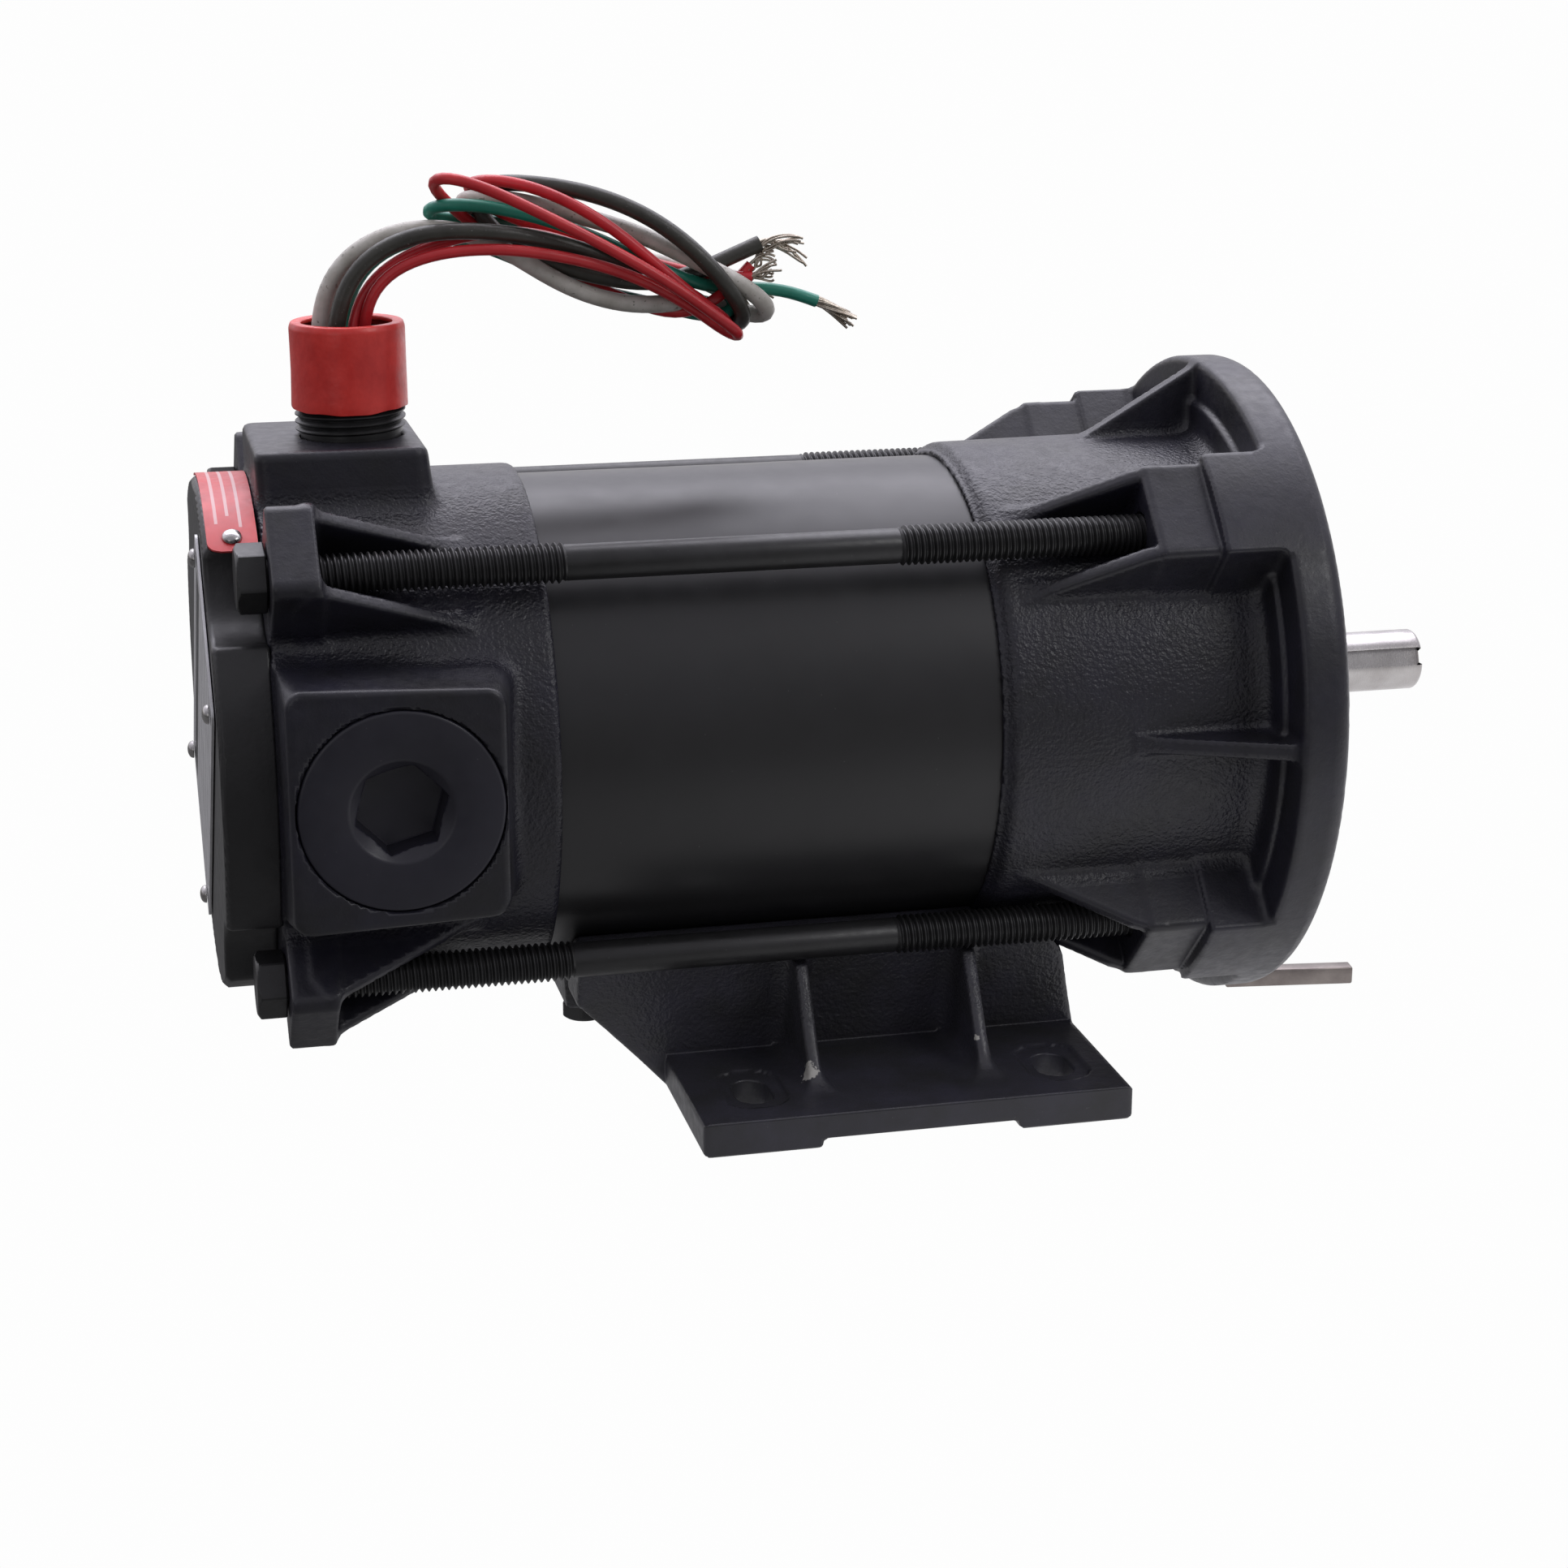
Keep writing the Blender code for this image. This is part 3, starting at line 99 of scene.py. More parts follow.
def add_node(tree, kind, values=None, links=None, **settings):
    """A shader node with inputs set from values or joined to links, by their name or number."""
    node = tree.nodes.new("ShaderNode" + kind)
    for name, setting in settings.items():
        setattr(node, name, setting)
    for key, value in (values or {}).items():
        node.inputs[key].default_value = value
    for key, out in (links or {}).items():
        link(tree, out, node.inputs[key])
    return node


def coordinates(tree):
    return add_node(tree, "TexCoord").outputs["Object"]


def axes_of(tree, vector):
    return add_node(tree, "SeparateXYZ", links={0: vector}).outputs


def noise(tree, where, scale, detail=2.0, roughness=0.5):
    values = {"Scale": scale, "Detail": detail, "Roughness": roughness}
    return add_node(tree, "TexNoise", values, {"Vector": where}).outputs["Fac"]


def stretched(tree, where, scale):
    return add_node(tree, "Mapping", {"Scale": scale}, {"Vector": where}).outputs["Vector"]


def ramp(tree, value, stops):
    node = add_node(tree, "ValToRGB", links={"Fac": value})
    points = node.color_ramp.elements
    while len(points) < len(stops):
        points.new(0.5)
    for point, (place, colour) in zip(points, stops):
        point.position = place
        point.color = (*colour, 1.0)
    return node.outputs["Color"]


def spread(tree, value, low, high, start=0.3, end=0.7):
    values = {"From Min": start, "From Max": end, "To Min": low, "To Max": high}
    return add_node(tree, "MapRange", values, {"Value": value}).outputs["Result"]


def bump(tree, height, depth, below=None):
    links = {"Height": height} if below is None else {"Height": height, "Normal": below}
    return add_node(tree, "Bump", {"Distance": depth}, links).outputs["Normal"]


def math_node(tree, operation, first, value=0.0, second=None, third=None):
    links = {0: first, 1: second, 2: third}
    links = {number: out for number, out in links.items() if out is not None}
    return add_node(tree, "Math", {1: value}, links, operation=operation).outputs[0]


def covered(tree, share, under, over):
    """The colour under, with the plain colour over laid on it by share."""
    links = {0: share, 6: under}
    return add_node(tree, "Mix", {7: (*over, 1.0)}, links, data_type="RGBA").outputs[2]


def chipped(tree, where, colour, chips):
    """Bare spots in the paint with ragged edges, each (x, y, z, radius) in millimetres."""
    ragged = noise(tree, where, 900.0, 3.0)
    bare = None
    for x, y, z, size in chips:
        middle = (x * MM, y * MM, z * MM)
        away = add_node(tree, "VectorMath", {1: middle}, {0: where}, operation="DISTANCE")
        size *= MM
        edge = math_node(tree, "MULTIPLY_ADD", ragged, 2.4 * size, third=away.outputs["Value"])
        spot = spread(tree, edge, 1.0, 0.0, 2.05 * size, 2.2 * size)
        bare = spot if bare is None else math_node(tree, "MAXIMUM", bare, second=spot)
    return covered(tree, bare, colour, BARE_IRON)


def new_material(name):
    material = bpy.data.materials.new(name)
    material.use_nodes = True
    tree = material.node_tree
    return material, tree, tree.nodes["Principled BSDF"]


def finish(name, dark, light, rough, metallic=0.0, patches=60.0, grain=(), drawn=None,
           coat=0.0, specks=None, subsurface=0.0, pebbles=None, chips=()):
    """A procedural finish: two tones in patches, uneven gloss and up to three sizes of grain.

    Sizes and depths are in millimetres. grain is a list of (size, depth), drawn stretches the
    grain along an axis, specks is (size, colour, share) of small marks, pebbles is the (size,
    depth) of a coarse cast skin within a distance of the shaft axis, and chips are bare spots."""
    material, tree, shader = new_material(name)
    where = coordinates(tree)
    fine = stretched(tree, where, drawn) if drawn else where
    patchy = noise(tree, where, patches, 4.0, 0.6)
    colour = ramp(tree, patchy, [(0.32, dark), (0.68, light)])
    if specks:
        size, tone, share = specks
        dots = noise(tree, where, 1.0 / (size * MM), 1.0)
        colour = covered(tree, spread(tree, dots, 0.0, 1.0, share, share + 0.03), colour, tone)
    if chips:
        colour = chipped(tree, where, colour, chips)
    link(tree, colour, shader.inputs["Base Color"])
    gloss = noise(tree, fine, patches * 6.0, 3.0)
    link(tree, spread(tree, gloss, rough[0], rough[1]), shader.inputs["Roughness"])
    shader.inputs["Metallic"].default_value = metallic
    if coat:
        shader.inputs["Coat Weight"].default_value = coat
        shader.inputs["Coat Roughness"].default_value = 0.12
    if subsurface:
        shader.inputs["Subsurface Weight"].default_value = subsurface
        shader.inputs["Subsurface Radius"].default_value = (0.004, 0.001, 0.001)
    normal = None
    if pebbles:
        size, depth, reach = (measure * MM for measure in pebbles)
        off_axis = stretched(tree, where, (0.0, 1.0, 1.0))
        out = add_node(tree, "VectorMath", links={0: off_axis}, operation="LENGTH").outputs["Value"]
        inside = spread(tree, out, 1.0, 0.12, reach - 0.0015, reach + 0.001)
        cells = noise(tree, where, 1.0 / size, 1.5, 0.6)
        heights = math_node(tree, "MULTIPLY", cells, second=inside)
        normal = bump(tree, heights, depth)
    for size, depth in grain:
        normal = bump(tree, noise(tree, fine, 1.0 / (size * MM), 2.0), depth * MM, normal)
    if normal is not None:
        link(tree, normal, shader.inputs["Normal"])
    return material


BARE_IRON = (0.42, 0.41, 0.38)
CAST = finish("cast_black_paint", (0.0085, 0.0083, 0.011), (0.0125, 0.012, 0.021), (0.34, 0.46),
              grain=((0.55, 0.022), (2.6, 0.05), (10, 0.1)),
              specks=(0.55, (0.05, 0.05, 0.055), 0.77), pebbles=(1.0, 0.34, 66.5))
# The foot wears the same black paint as the bells, made about three times lighter here: painted light
# for the light it catches from the front and below. Its bare chips are real wear.
FOOT_CAST_WITH_PAINTED_LIGHT = finish("foot_black_paint_with_painted_light", (0.026, 0.026, 0.028), (0.038, 0.037, 0.050), (0.32, 0.44),
                   grain=((0.6, 0.03), (2.6, 0.07), (10, 0.1)),
                   specks=(0.6, (0.07, 0.07, 0.075), 0.77), pebbles=(1.1, 0.34, 88.0),
                   chips=((-128.6, -63.0, -77.4, 2.4), (-86.2, -61.0, -72.9, 1.0),
                          (-129.5, -64.5, -80.2, 0.8), (-127.0, 61.0, -75.0, 1.6)))
COVER = finish("cover_black_paint", (0.009, 0.009, 0.010), (0.015, 0.015, 0.016), (0.36, 0.46),
               grain=((1.1, 0.05), (7, 0.1)))
SATIN = finish("satin_black_paint", (0.0115, 0.0115, 0.012), (0.0145, 0.0145, 0.0155), (0.33, 0.38),
               patches=25.0, grain=((0.35, 0.006), (20, 0.03)),
               specks=(0.7, (0.07, 0.07, 0.07), 0.80))
PLUG = finish("plug_black_paint", (0.010, 0.0095, 0.016), (0.015, 0.0145, 0.024), (0.36, 0.46),
              patches=40.0, grain=((0.5, 0.012), (12, 0.08)),
              specks=(0.6, (0.06, 0.06, 0.065), 0.78))
BOLT = finish("bolt_black_paint", (0.010, 0.010, 0.010), (0.018, 0.018, 0.019), (0.32, 0.44),
              grain=((0.45, 0.015), (3, 0.04)),
              specks=(0.5, (0.06, 0.06, 0.06), 0.77))
STEEL = finish("turned_steel", (0.36, 0.34, 0.33), (0.50, 0.485, 0.475), (0.2, 0.34), 1.0,
               patches=90.0, drawn=(60.0, 1.0, 1.0), grain=((2.0, 0.004),))
GROUND = finish("ground_steel", (0.30, 0.29, 0.28), (0.42, 0.40, 0.39), (0.24, 0.42), 1.0,
                patches=140.0, grain=((0.3, 0.01),))
KEY_STEEL = finish("key_steel", (0.20, 0.175, 0.165), (0.30, 0.27, 0.25), (0.36, 0.5), 1.0,
                   patches=120.0, drawn=(1.0, 14.0, 14.0), grain=((1.2, 0.01),))
DOME = finish("pin_steel", (0.30, 0.29, 0.29), (0.55, 0.54, 0.53), (0.18, 0.3), 1.0,
              patches=300.0, grain=((0.4, 0.02),))
RED_CAP = finish("red_cap_plastic", (0.52, 0.018, 0.015), (0.72, 0.045, 0.035), (0.3, 0.44),
                 patches=110.0, grain=((0.9, 0.04), (6, 0.25)), coat=0.1,
                 subsurface=0.35)
COPPER = finish("enamelled_copper", (0.30, 0.10, 0.035), (0.45, 0.17, 0.06), (0.25, 0.4), 0.6,
                patches=200.0, drawn=(0.2, 1.0, 1.0), grain=((1.1, 0.25),))
BRASS_TONE = finish("copper_bars", (0.50, 0.21, 0.10), (0.62, 0.29, 0.15), (0.22, 0.34), 1.0,
                    patches=160.0, drawn=(3.0, 1.0, 1.0), grain=((0.7, 0.01),))
BRASS = finish("brass", (0.42, 0.27, 0.09), (0.55, 0.37, 0.14), (0.26, 0.4), 1.0,
               patches=160.0, grain=((0.6, 0.01),))
LAMINATION = finish("core_laminations", (0.06, 0.06, 0.065), (0.14, 0.135, 0.13), (0.4, 0.6), 0.7,
                    patches=50.0, drawn=(20.0, 0.4, 0.4), grain=((2.0, 0.08),))
FERRITE = finish("ferrite", (0.03, 0.03, 0.031), (0.055, 0.053, 0.052), (0.55, 0.75),
                 patches=70.0, grain=((0.4, 0.03),))
CARBON = finish("carbon", (0.018, 0.018, 0.019), (0.04, 0.04, 0.042), (0.45, 0.65),
                patches=160.0, grain=((0.3, 0.02),))
PHENOLIC = finish("phenolic", (0.055, 0.022, 0.010), (0.10, 0.045, 0.02), (0.4, 0.55),
                  patches=120.0, grain=((0.5, 0.03),))
COMPOUND = finish("sealing_compound", (0.10, 0.075, 0.05), (0.22, 0.17, 0.12), (0.5, 0.75),
                  patches=260.0, grain=((1.6, 0.4), (0.5, 0.1)))
RUBBER = finish("seal_rubber", (0.012, 0.012, 0.012), (0.022, 0.022, 0.022), (0.5, 0.7),
                patches=120.0, grain=((0.4, 0.02),))
STRAND = finish("tinned_strands", (0.26, 0.21, 0.16), (0.60, 0.55, 0.47), (0.22, 0.4), 1.0,
                patches=500.0, grain=((0.25, 0.01),))
LEAD_FINISH = {
    "lead_white": finish("white_lead_cover", (0.34, 0.32, 0.28), (0.56, 0.54, 0.50), (0.4, 0.55),
                         patches=130.0, grain=((0.8, 0.05), (5, 0.2)),
                         specks=(1.1, (0.26, 0.25, 0.22), 0.68)),
    "lead_black": finish("black_lead_cover", (0.026, 0.025, 0.020), (0.042, 0.041, 0.033),
                         (0.34, 0.48), patches=110.0,
                         grain=((0.7, 0.03), (4, 0.2)),
                         specks=(0.8, (0.10, 0.10, 0.09), 0.73)),
    "lead_red_1": finish("red_lead_cover_1", (0.44, 0.014, 0.022), (0.60, 0.026, 0.036),
                         (0.28, 0.4), patches=90.0, grain=((0.8, 0.02), (6, 0.15))),
    "lead_red_2": finish("red_lead_cover_2", (0.43, 0.014, 0.020), (0.58, 0.026, 0.032),
                         (0.28, 0.4), patches=90.0, grain=((0.8, 0.02), (6, 0.15))),
    "lead_green": finish("green_lead_cover", (0.008, 0.16, 0.105), (0.02, 0.235, 0.165),
                         (0.3, 0.44), patches=90.0, grain=((0.8, 0.02), (6, 0.15))),
}


# ---------------------------------------------------------------- meshes

def stand(name, data, body="motor"):
    """An object for the data at the motor's own origin, riding on a body."""
    obj = bpy.data.objects.new(name, data)
    obj.location = ORIGIN
    scene.collection.objects.link(obj)
    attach(obj, body)
    return obj


def lay_mesh(name, points, faces, material, body="motor", sharp=35.0):
    """A piece from points in millimetres, riding on a body."""
    mesh = bpy.data.meshes.new(name)
    mesh.from_pydata((np.asarray(points, float) * MM).tolist(), [], faces)
    work = bmesh.new()
    work.from_mesh(mesh)
    bmesh.ops.remove_doubles(work, verts=work.verts, dist=1e-7)
    bmesh.ops.recalc_face_normals(work, faces=work.faces)
    work.to_mesh(mesh)
    work.free()
    mesh.polygons.foreach_set("use_smooth", [True] * len(mesh.polygons))
    mesh.set_sharp_from_angle(angle=math.radians(sharp))
    mesh.materials.append(material)
    return stand(name, mesh, body)


def joined(*parts):
    """Several (points, faces) as one."""
    points, faces = [], []
    for part_points, part_faces in parts:
        start = len(points)
        points.extend(np.asarray(part_points, float).tolist())
        faces.extend([[start + i for i in face] for face in part_faces])
    return points, faces


def grid_faces(rows, columns, closed_rows=False):
    """Quads between the rows of a grid whose columns go all the way round."""
    faces = []
    for i in range(rows if closed_rows else rows - 1):
        a, b = i * columns, (i + 1) % rows * columns
        for j in range(columns):
            k = (j + 1) % columns
            faces.append((a + j, a + k, b + k, b + j))
    return faces


def circle_angles(columns):
    return np.linspace(0, 2 * math.pi, columns, endpoint=False)


def ring_row(x, radii, angles):
    """Points round the x axis. The place x and the radii may differ from point to point."""
    x, radii = (np.broadcast_to(values, angles.shape) for values in (x, radii))
    return np.stack([x, -radii * np.sin(angles), radii * np.cos(angles)], 1)


def turned(profile, columns=128, radius=None):
    """A body turned about x from an outline of (x, r). It closes on the axis where r is 0.

    radius(x, r, angle) may change the radii, for a part that isn't quite round."""
    angles = circle_angles(columns)
    rows = []
    for x, r in profile:
        rows.append(ring_row(x, radius(x, r, angles) if radius and r > 0 else r, angles))
    closed = profile[0][1] > 0 and profile[-1][1] > 0
    return np.concatenate(rows), grid_faces(len(profile), columns, closed)


def placed(part, turn=None, move=(0.0, 0.0, 0.0)):
    """The part turned about the origin and then moved."""
    points, faces = part
    points = np.asarray(points, float)
    if turn is not None:
        points = points @ np.array(turn.to_3x3()).T
    return points + np.array(move), faces


def upright(part, x, y=0.0):
    """Turns a body made about x so that it stands along z at that place."""
    return placed(part, Matrix.Rotation(math.radians(-90), 4, "Y"), (x, y, 0.0))


def sideways(part, side, x):
    """Turns a body made about x so that it points out of that side of the motor."""
    return placed(part, Matrix.Rotation(math.radians(90 * side), 4, "Z"), (x, 0.0, 0.0))


def soft_corners(profile, radius, steps=4):
    """The outline with each inner point rounded by about that radius."""
    out = [profile[0]]
    for before, here, after in zip(profile, profile[1:], profile[2:]):
        p, q, s = (np.array(v, float) for v in (before, here, after))
        a, b = p - q, s - q
        reach = min(radius, 0.45 * np.linalg.norm(a), 0.45 * np.linalg.norm(b))
        start = q + a / np.linalg.norm(a) * reach
        end = q + b / np.linalg.norm(b) * reach
        for i in range(steps + 1):
            t = i / steps
            point = start * (1 - t) ** 2 + q * 2 * t * (1 - t) + end * t * t
            out.append((float(point[0]), float(point[1])))
    out.append(profile[-1])
    return out


def threaded(start, end, major, minor, pitch, columns=36, fade=1.0):
    """A screw thread along x: rows follow the helix and close on themselves a pitch later."""
    shape = ((0.0, minor), (0.14, minor), (0.44, major), (0.60, major))
    per_turn = len(shape)
    turns = int(math.ceil((end - start) / pitch)) + 2
    angles = circle_angles(columns)
    rows = []
    for turn in range(-1, turns):
        for share, level in shape:
            x = start + pitch * (turn + share + angles / (2 * math.pi))
            edge = np.minimum(x - start, end - x) / (pitch * fade)
            radii = minor + (level - minor) * np.clip(edge, 0.0, 1.0)
            rows.append(ring_row(np.clip(x, start, end), radii, angles))
    points = np.concatenate(rows)
    count = len(rows)
    faces = []
    for i in range(count - 1):
        for j in range(columns):
            if j < columns - 1:
                faces.append((i * columns + j, i * columns + j + 1,
                              (i + 1) * columns + j + 1, (i + 1) * columns + j))
            elif i + per_turn + 1 < count:
                faces.append((i * columns + j, (i + per_turn) * columns,
                              (i + per_turn + 1) * columns, (i + 1) * columns + j))
    return points, faces


def hex_radius(apothem, angles, phase):
    """How far out a hexagon reaches at each angle, with a corner at the phase."""
    past_corner = np.mod(angles - phase, math.pi / 3) - math.pi / 6
    return apothem / np.cos(past_corner)


def hex_head(base, top, apothem, phase, columns=96):
    """A hexagon head with its corners chamfered at the top, from x = base to x = top."""
    angles = circle_angles(columns)
    height = abs(top - base)
    face = apothem - 0.25
    step = math.copysign(1.0, top - base)
    hexagon = hex_radius(apothem, angles, phase)
    rows = [ring_row(base, 0.0, angles), ring_row(base, hexagon - 0.3, angles)]
    levels = [0.35, height * 0.5]
    levels += [height - below for below in (1.3, 1.0, 0.7, 0.4, 0.2, 0.06, 0.0)]
    for level in levels:
        cone = face + (height - level) * 1.6
        rows.append(ring_row(base + step * level, np.minimum(hexagon, cone), angles))
    rows += [ring_row(top, share * face, angles) for share in (0.93, 0.0)]
    return np.concatenate(rows), grid_faces(len(rows), columns)


# ---------------------------------------------------------------- castings as distance fields

def polygon(u, v, outline):
    """Signed distance to a closed outline, negative inside."""
    nearest = None
    sign = None
    for (pu, pv), (qu, qv) in zip(outline, outline[1:] + outline[:1]):
        eu, ev = qu - pu, qv - pv
        wu, wv = u - pu, v - pv
        t = np.clip((wu * eu + wv * ev) / (eu * eu + ev * ev), 0.0, 1.0)
        far = (wu - eu * t) ** 2 + (wv - ev * t) ** 2
        nearest = far if nearest is None else np.minimum(nearest, far)
        above, below, left = v >= pv, v < qv, eu * wv > ev * wu
        flip = (above & below & left) | (~above & ~below & ~left)
        sign = np.where(flip, -1.0, 1.0) * (1.0 if sign is None else sign)
    return sign * np.sqrt(nearest)


def fuse(a, b, k):
    """Both bodies as one, with a fillet of about k where they meet."""
    h = np.clip(0.5 + 0.5 * (b - a) / k, 0.0, 1.0)
    return b * (1 - h) + a * h - k * h * (1 - h)


def common(a, b, k=1.0):
    """What the bodies share, with its edges rounded by about k."""
    return -fuse(-a, -b, k)


def cut(a, b, k=1.0):
    """The first body without the second, with the edges rounded by about k."""
    return -fuse(-a, b, k)


def rectangle(u, v, low, high, corner):
    """A rectangle with rounded corners: low and high are (u, v)."""
    qu = np.abs(u - (low[0] + high[0]) / 2) - (high[0] - low[0]) / 2 + corner
    qv = np.abs(v - (low[1] + high[1]) / 2) - (high[1] - low[1]) / 2 + corner
    outside = np.hypot(np.maximum(qu, 0.0), np.maximum(qv, 0.0))
    return outside + np.minimum(np.maximum(qu, qv), 0.0) - corner


def between(u, low, high):
    """A slab from low to high."""
    return np.abs(u - (low + high) / 2) - (high - low) / 2


def corner_axes(y, z):
    """How far out along the nearest diagonal, and how far to its side."""
    return ((np.abs(y) + np.abs(z)) / ROOT2, np.abs(np.abs(y) - np.abs(z)) / ROOT2)


def front_bell(x, y, z):
    """The end bell at the mounting face: barrel, flange, four lugs and ribs, gussets and bores."""
    r = np.hypot(y, z)
    out, side = corner_axes(y, z)
    barrel = polygon(x, r, [(-80.4, -9), (-80.4, 60.9), (-79.4, 61.2), (-77.9, 62.7), (-77, 63),
                            (-6, 63.9), (-6, -9)])
    disc = polygon(x, r, [(-12.5, -9), (-12.5, 84), (-3.2, 84), (-1, 81.7),
                          (0, 80), (0, 57.15), (3.5, 57.15), (4, 56.6), (4, 51.15), (-2, 46),
                          (-2, -9)])
    disc = common(disc, r - FLANGE_RADIUS, 2.2)
    ring = rectangle(x, r, (-13.9, 20), (-6, 72.4), 1.1)
    body = fuse(fuse(barrel, disc, 7.0), ring, 1.0)
    rim = rectangle(x, out, (-28, 20), (-5, 90), 1.2)
    rim = common(common(rim, side - 14.3 - 0.03 * (81 - out), 1.2), r - FLANGE_RADIUS, 0.8)
    block = common(rectangle(x, out, (-43.5, 20), (-25, 79.4), 1.4),
                   side - 13.2 - 0.03 * (79 - out), 2.0)
    lug = fuse(rim, block, 0.8)
    rib = polygon(x, out, [(-38, 50), (-38, 79.2), (-42.5, 78.9), (-47, 77.0), (-51.5, 74.2),
                           (-72.5, 61.4), (-72.5, 50)])
    rib = common(rib, np.abs(side - 11.0) - 2.0, 1.6)
    body = fuse(body, fuse(lug, rib, 0.5), 2.4)
    for along, across, tip, reach in ((np.abs(z), y, -43, 82.2), (np.abs(y), z, -47.5, 80.6)):
        blade = polygon(x, along, [(tip, 50), (tip, 63.6), (-11, reach), (-9, 50)])
        body = fuse(body, common(blade, np.abs(across) - 2.1, 1.0), 2.2)
    body = np.maximum(body, r - FLANGE_RADIUS)
    bore = polygon(x, r, [(-95, -9), (-95, SPIGOT_RADIUS), (-76, SPIGOT_RADIUS), (-76, 55),
                          (-32, 55), (-17, 46), (-17, 30), (-27.1, 27), (-27.1, BEARING_BORE),
                          (-14.2, BEARING_BORE), (-14.2, 15), (-10, 15), (-10, 8.4), (12, 8.4),
                          (12, -9)])
    body = cut(body, bore, 0.3)
    bolt = common(np.hypot(out - BOLT_CIRCLE, side) - BOLT_HOLE, between(x, -60, -27.5), 0.4)
    face = common(np.hypot(out - 74.6, side) - 4.0, between(x, -19, 20), 0.4)
    return cut(cut(body, bolt, 0.6), face, 0.6)


def rear_bell(x, y, z):
    """The rear end bell: barrel, four forked lugs, conduit boss, two brush pads and their bores."""
    r = np.hypot(y, z)
    out, side = corner_axes(y, z)
    body = polygon(x, r, [(-252, -9), (-252, 61.9), (-251.4, 62.5), (-188.7, 62.5), (-187.8, 62.1),
                          (-187.4, 61.4), (-187.4, -9)])
    plate = rectangle(out, side, (20, -12.4), (81.6, 12.4), 3.2)
    plate = common(plate, between(x, BELL_BACK, -241), 1.0)
    rib = polygon(x, out, [(-246, 50), (-246, 74), (-242.5, 79.6), (-206.5, 61.6), (-206.5, 50)])
    rib = common(rib, np.abs(side - 10.2) - 1.8, 1.1)
    body = fuse(body, fuse(plate, rib, 2.6), 2.6)
    down = 72.3 - z
    front = -211.2 + 0.06 * down
    wide = 22.3 + 0.05 * down
    boss = rectangle(x - front, y, (-40.8, -22.3), (0, 22.3), 3.2) - (wide - 22.3)
    boss = common(common(boss, -down, 2.2), BELL_BACK - x, 0.8)
    body = fuse(body, common(boss, 40 - z, 1.0), 3.2)
    deep = PAD_FACE - np.abs(y)
    back = (-202.0 - x) / 50.0
    pad = rectangle(x, z, (-251.4 - 0.15 * deep, -26.4 - 1.9 * back - 0.12 * deep),
                    (-202.2 + 0.2 * deep, 27.2 + 2.0 * back + 0.03 * deep), 4.5)
    pad = common(common(pad, -deep, 1.5), 40 - np.abs(y), 1.0)
    body = fuse(body, common(pad, BELL_BACK - x, 0.8), 3.2)
    away = np.hypot(x - BRUSH_X, z)
    recess = common(away - 23.7, 69.2 - np.abs(y), 0.4)
    neck = common(away - 16.8, 45 - np.abs(y), 0.4)
    body = cut(cut(body, recess, 0.2), neck, 0.5)
    bore = polygon(x, r, [(-180, -9), (-180, SPIGOT_RADIUS), (-191.8, SPIGOT_RADIUS),
                          (-191.8, 55), (-239, 55), (-244, 50), (-244, 29), (-238.8, 27),
                          (-238.8, BEARING_BORE), (-262, BEARING_BORE), (-262, -9)])
    body = cut(body, bore, 0.5)
    body = cut(body, common(np.hypot(x - CONDUIT_X, y) - 12.3, 40 - z, 0.4), 0.6)
    bolt = common(np.hypot(out - BOLT_CIRCLE, side) - BOLT_HOLE, between(x, -262, -236), 0.4)
    return cut(body, bolt, 0.6)


def cover(x, y, z):
    """The rear cover, notched round the four bolt heads."""
    r = np.hypot(y, z)
    out, side = corner_axes(y, z)
    body = polygon(x, r, [(-265.4, -9), (-265.4, 61.3), (-264.2, 62.5), (-252.9, 62.5),
                          (-252.3, 61.9), (-252.3, 15), (-259.3, 15), (-259.3, -9)])
    scallop = np.hypot(out - 71.0, side) - 16.3
    return cut(body, scallop, 1.2)


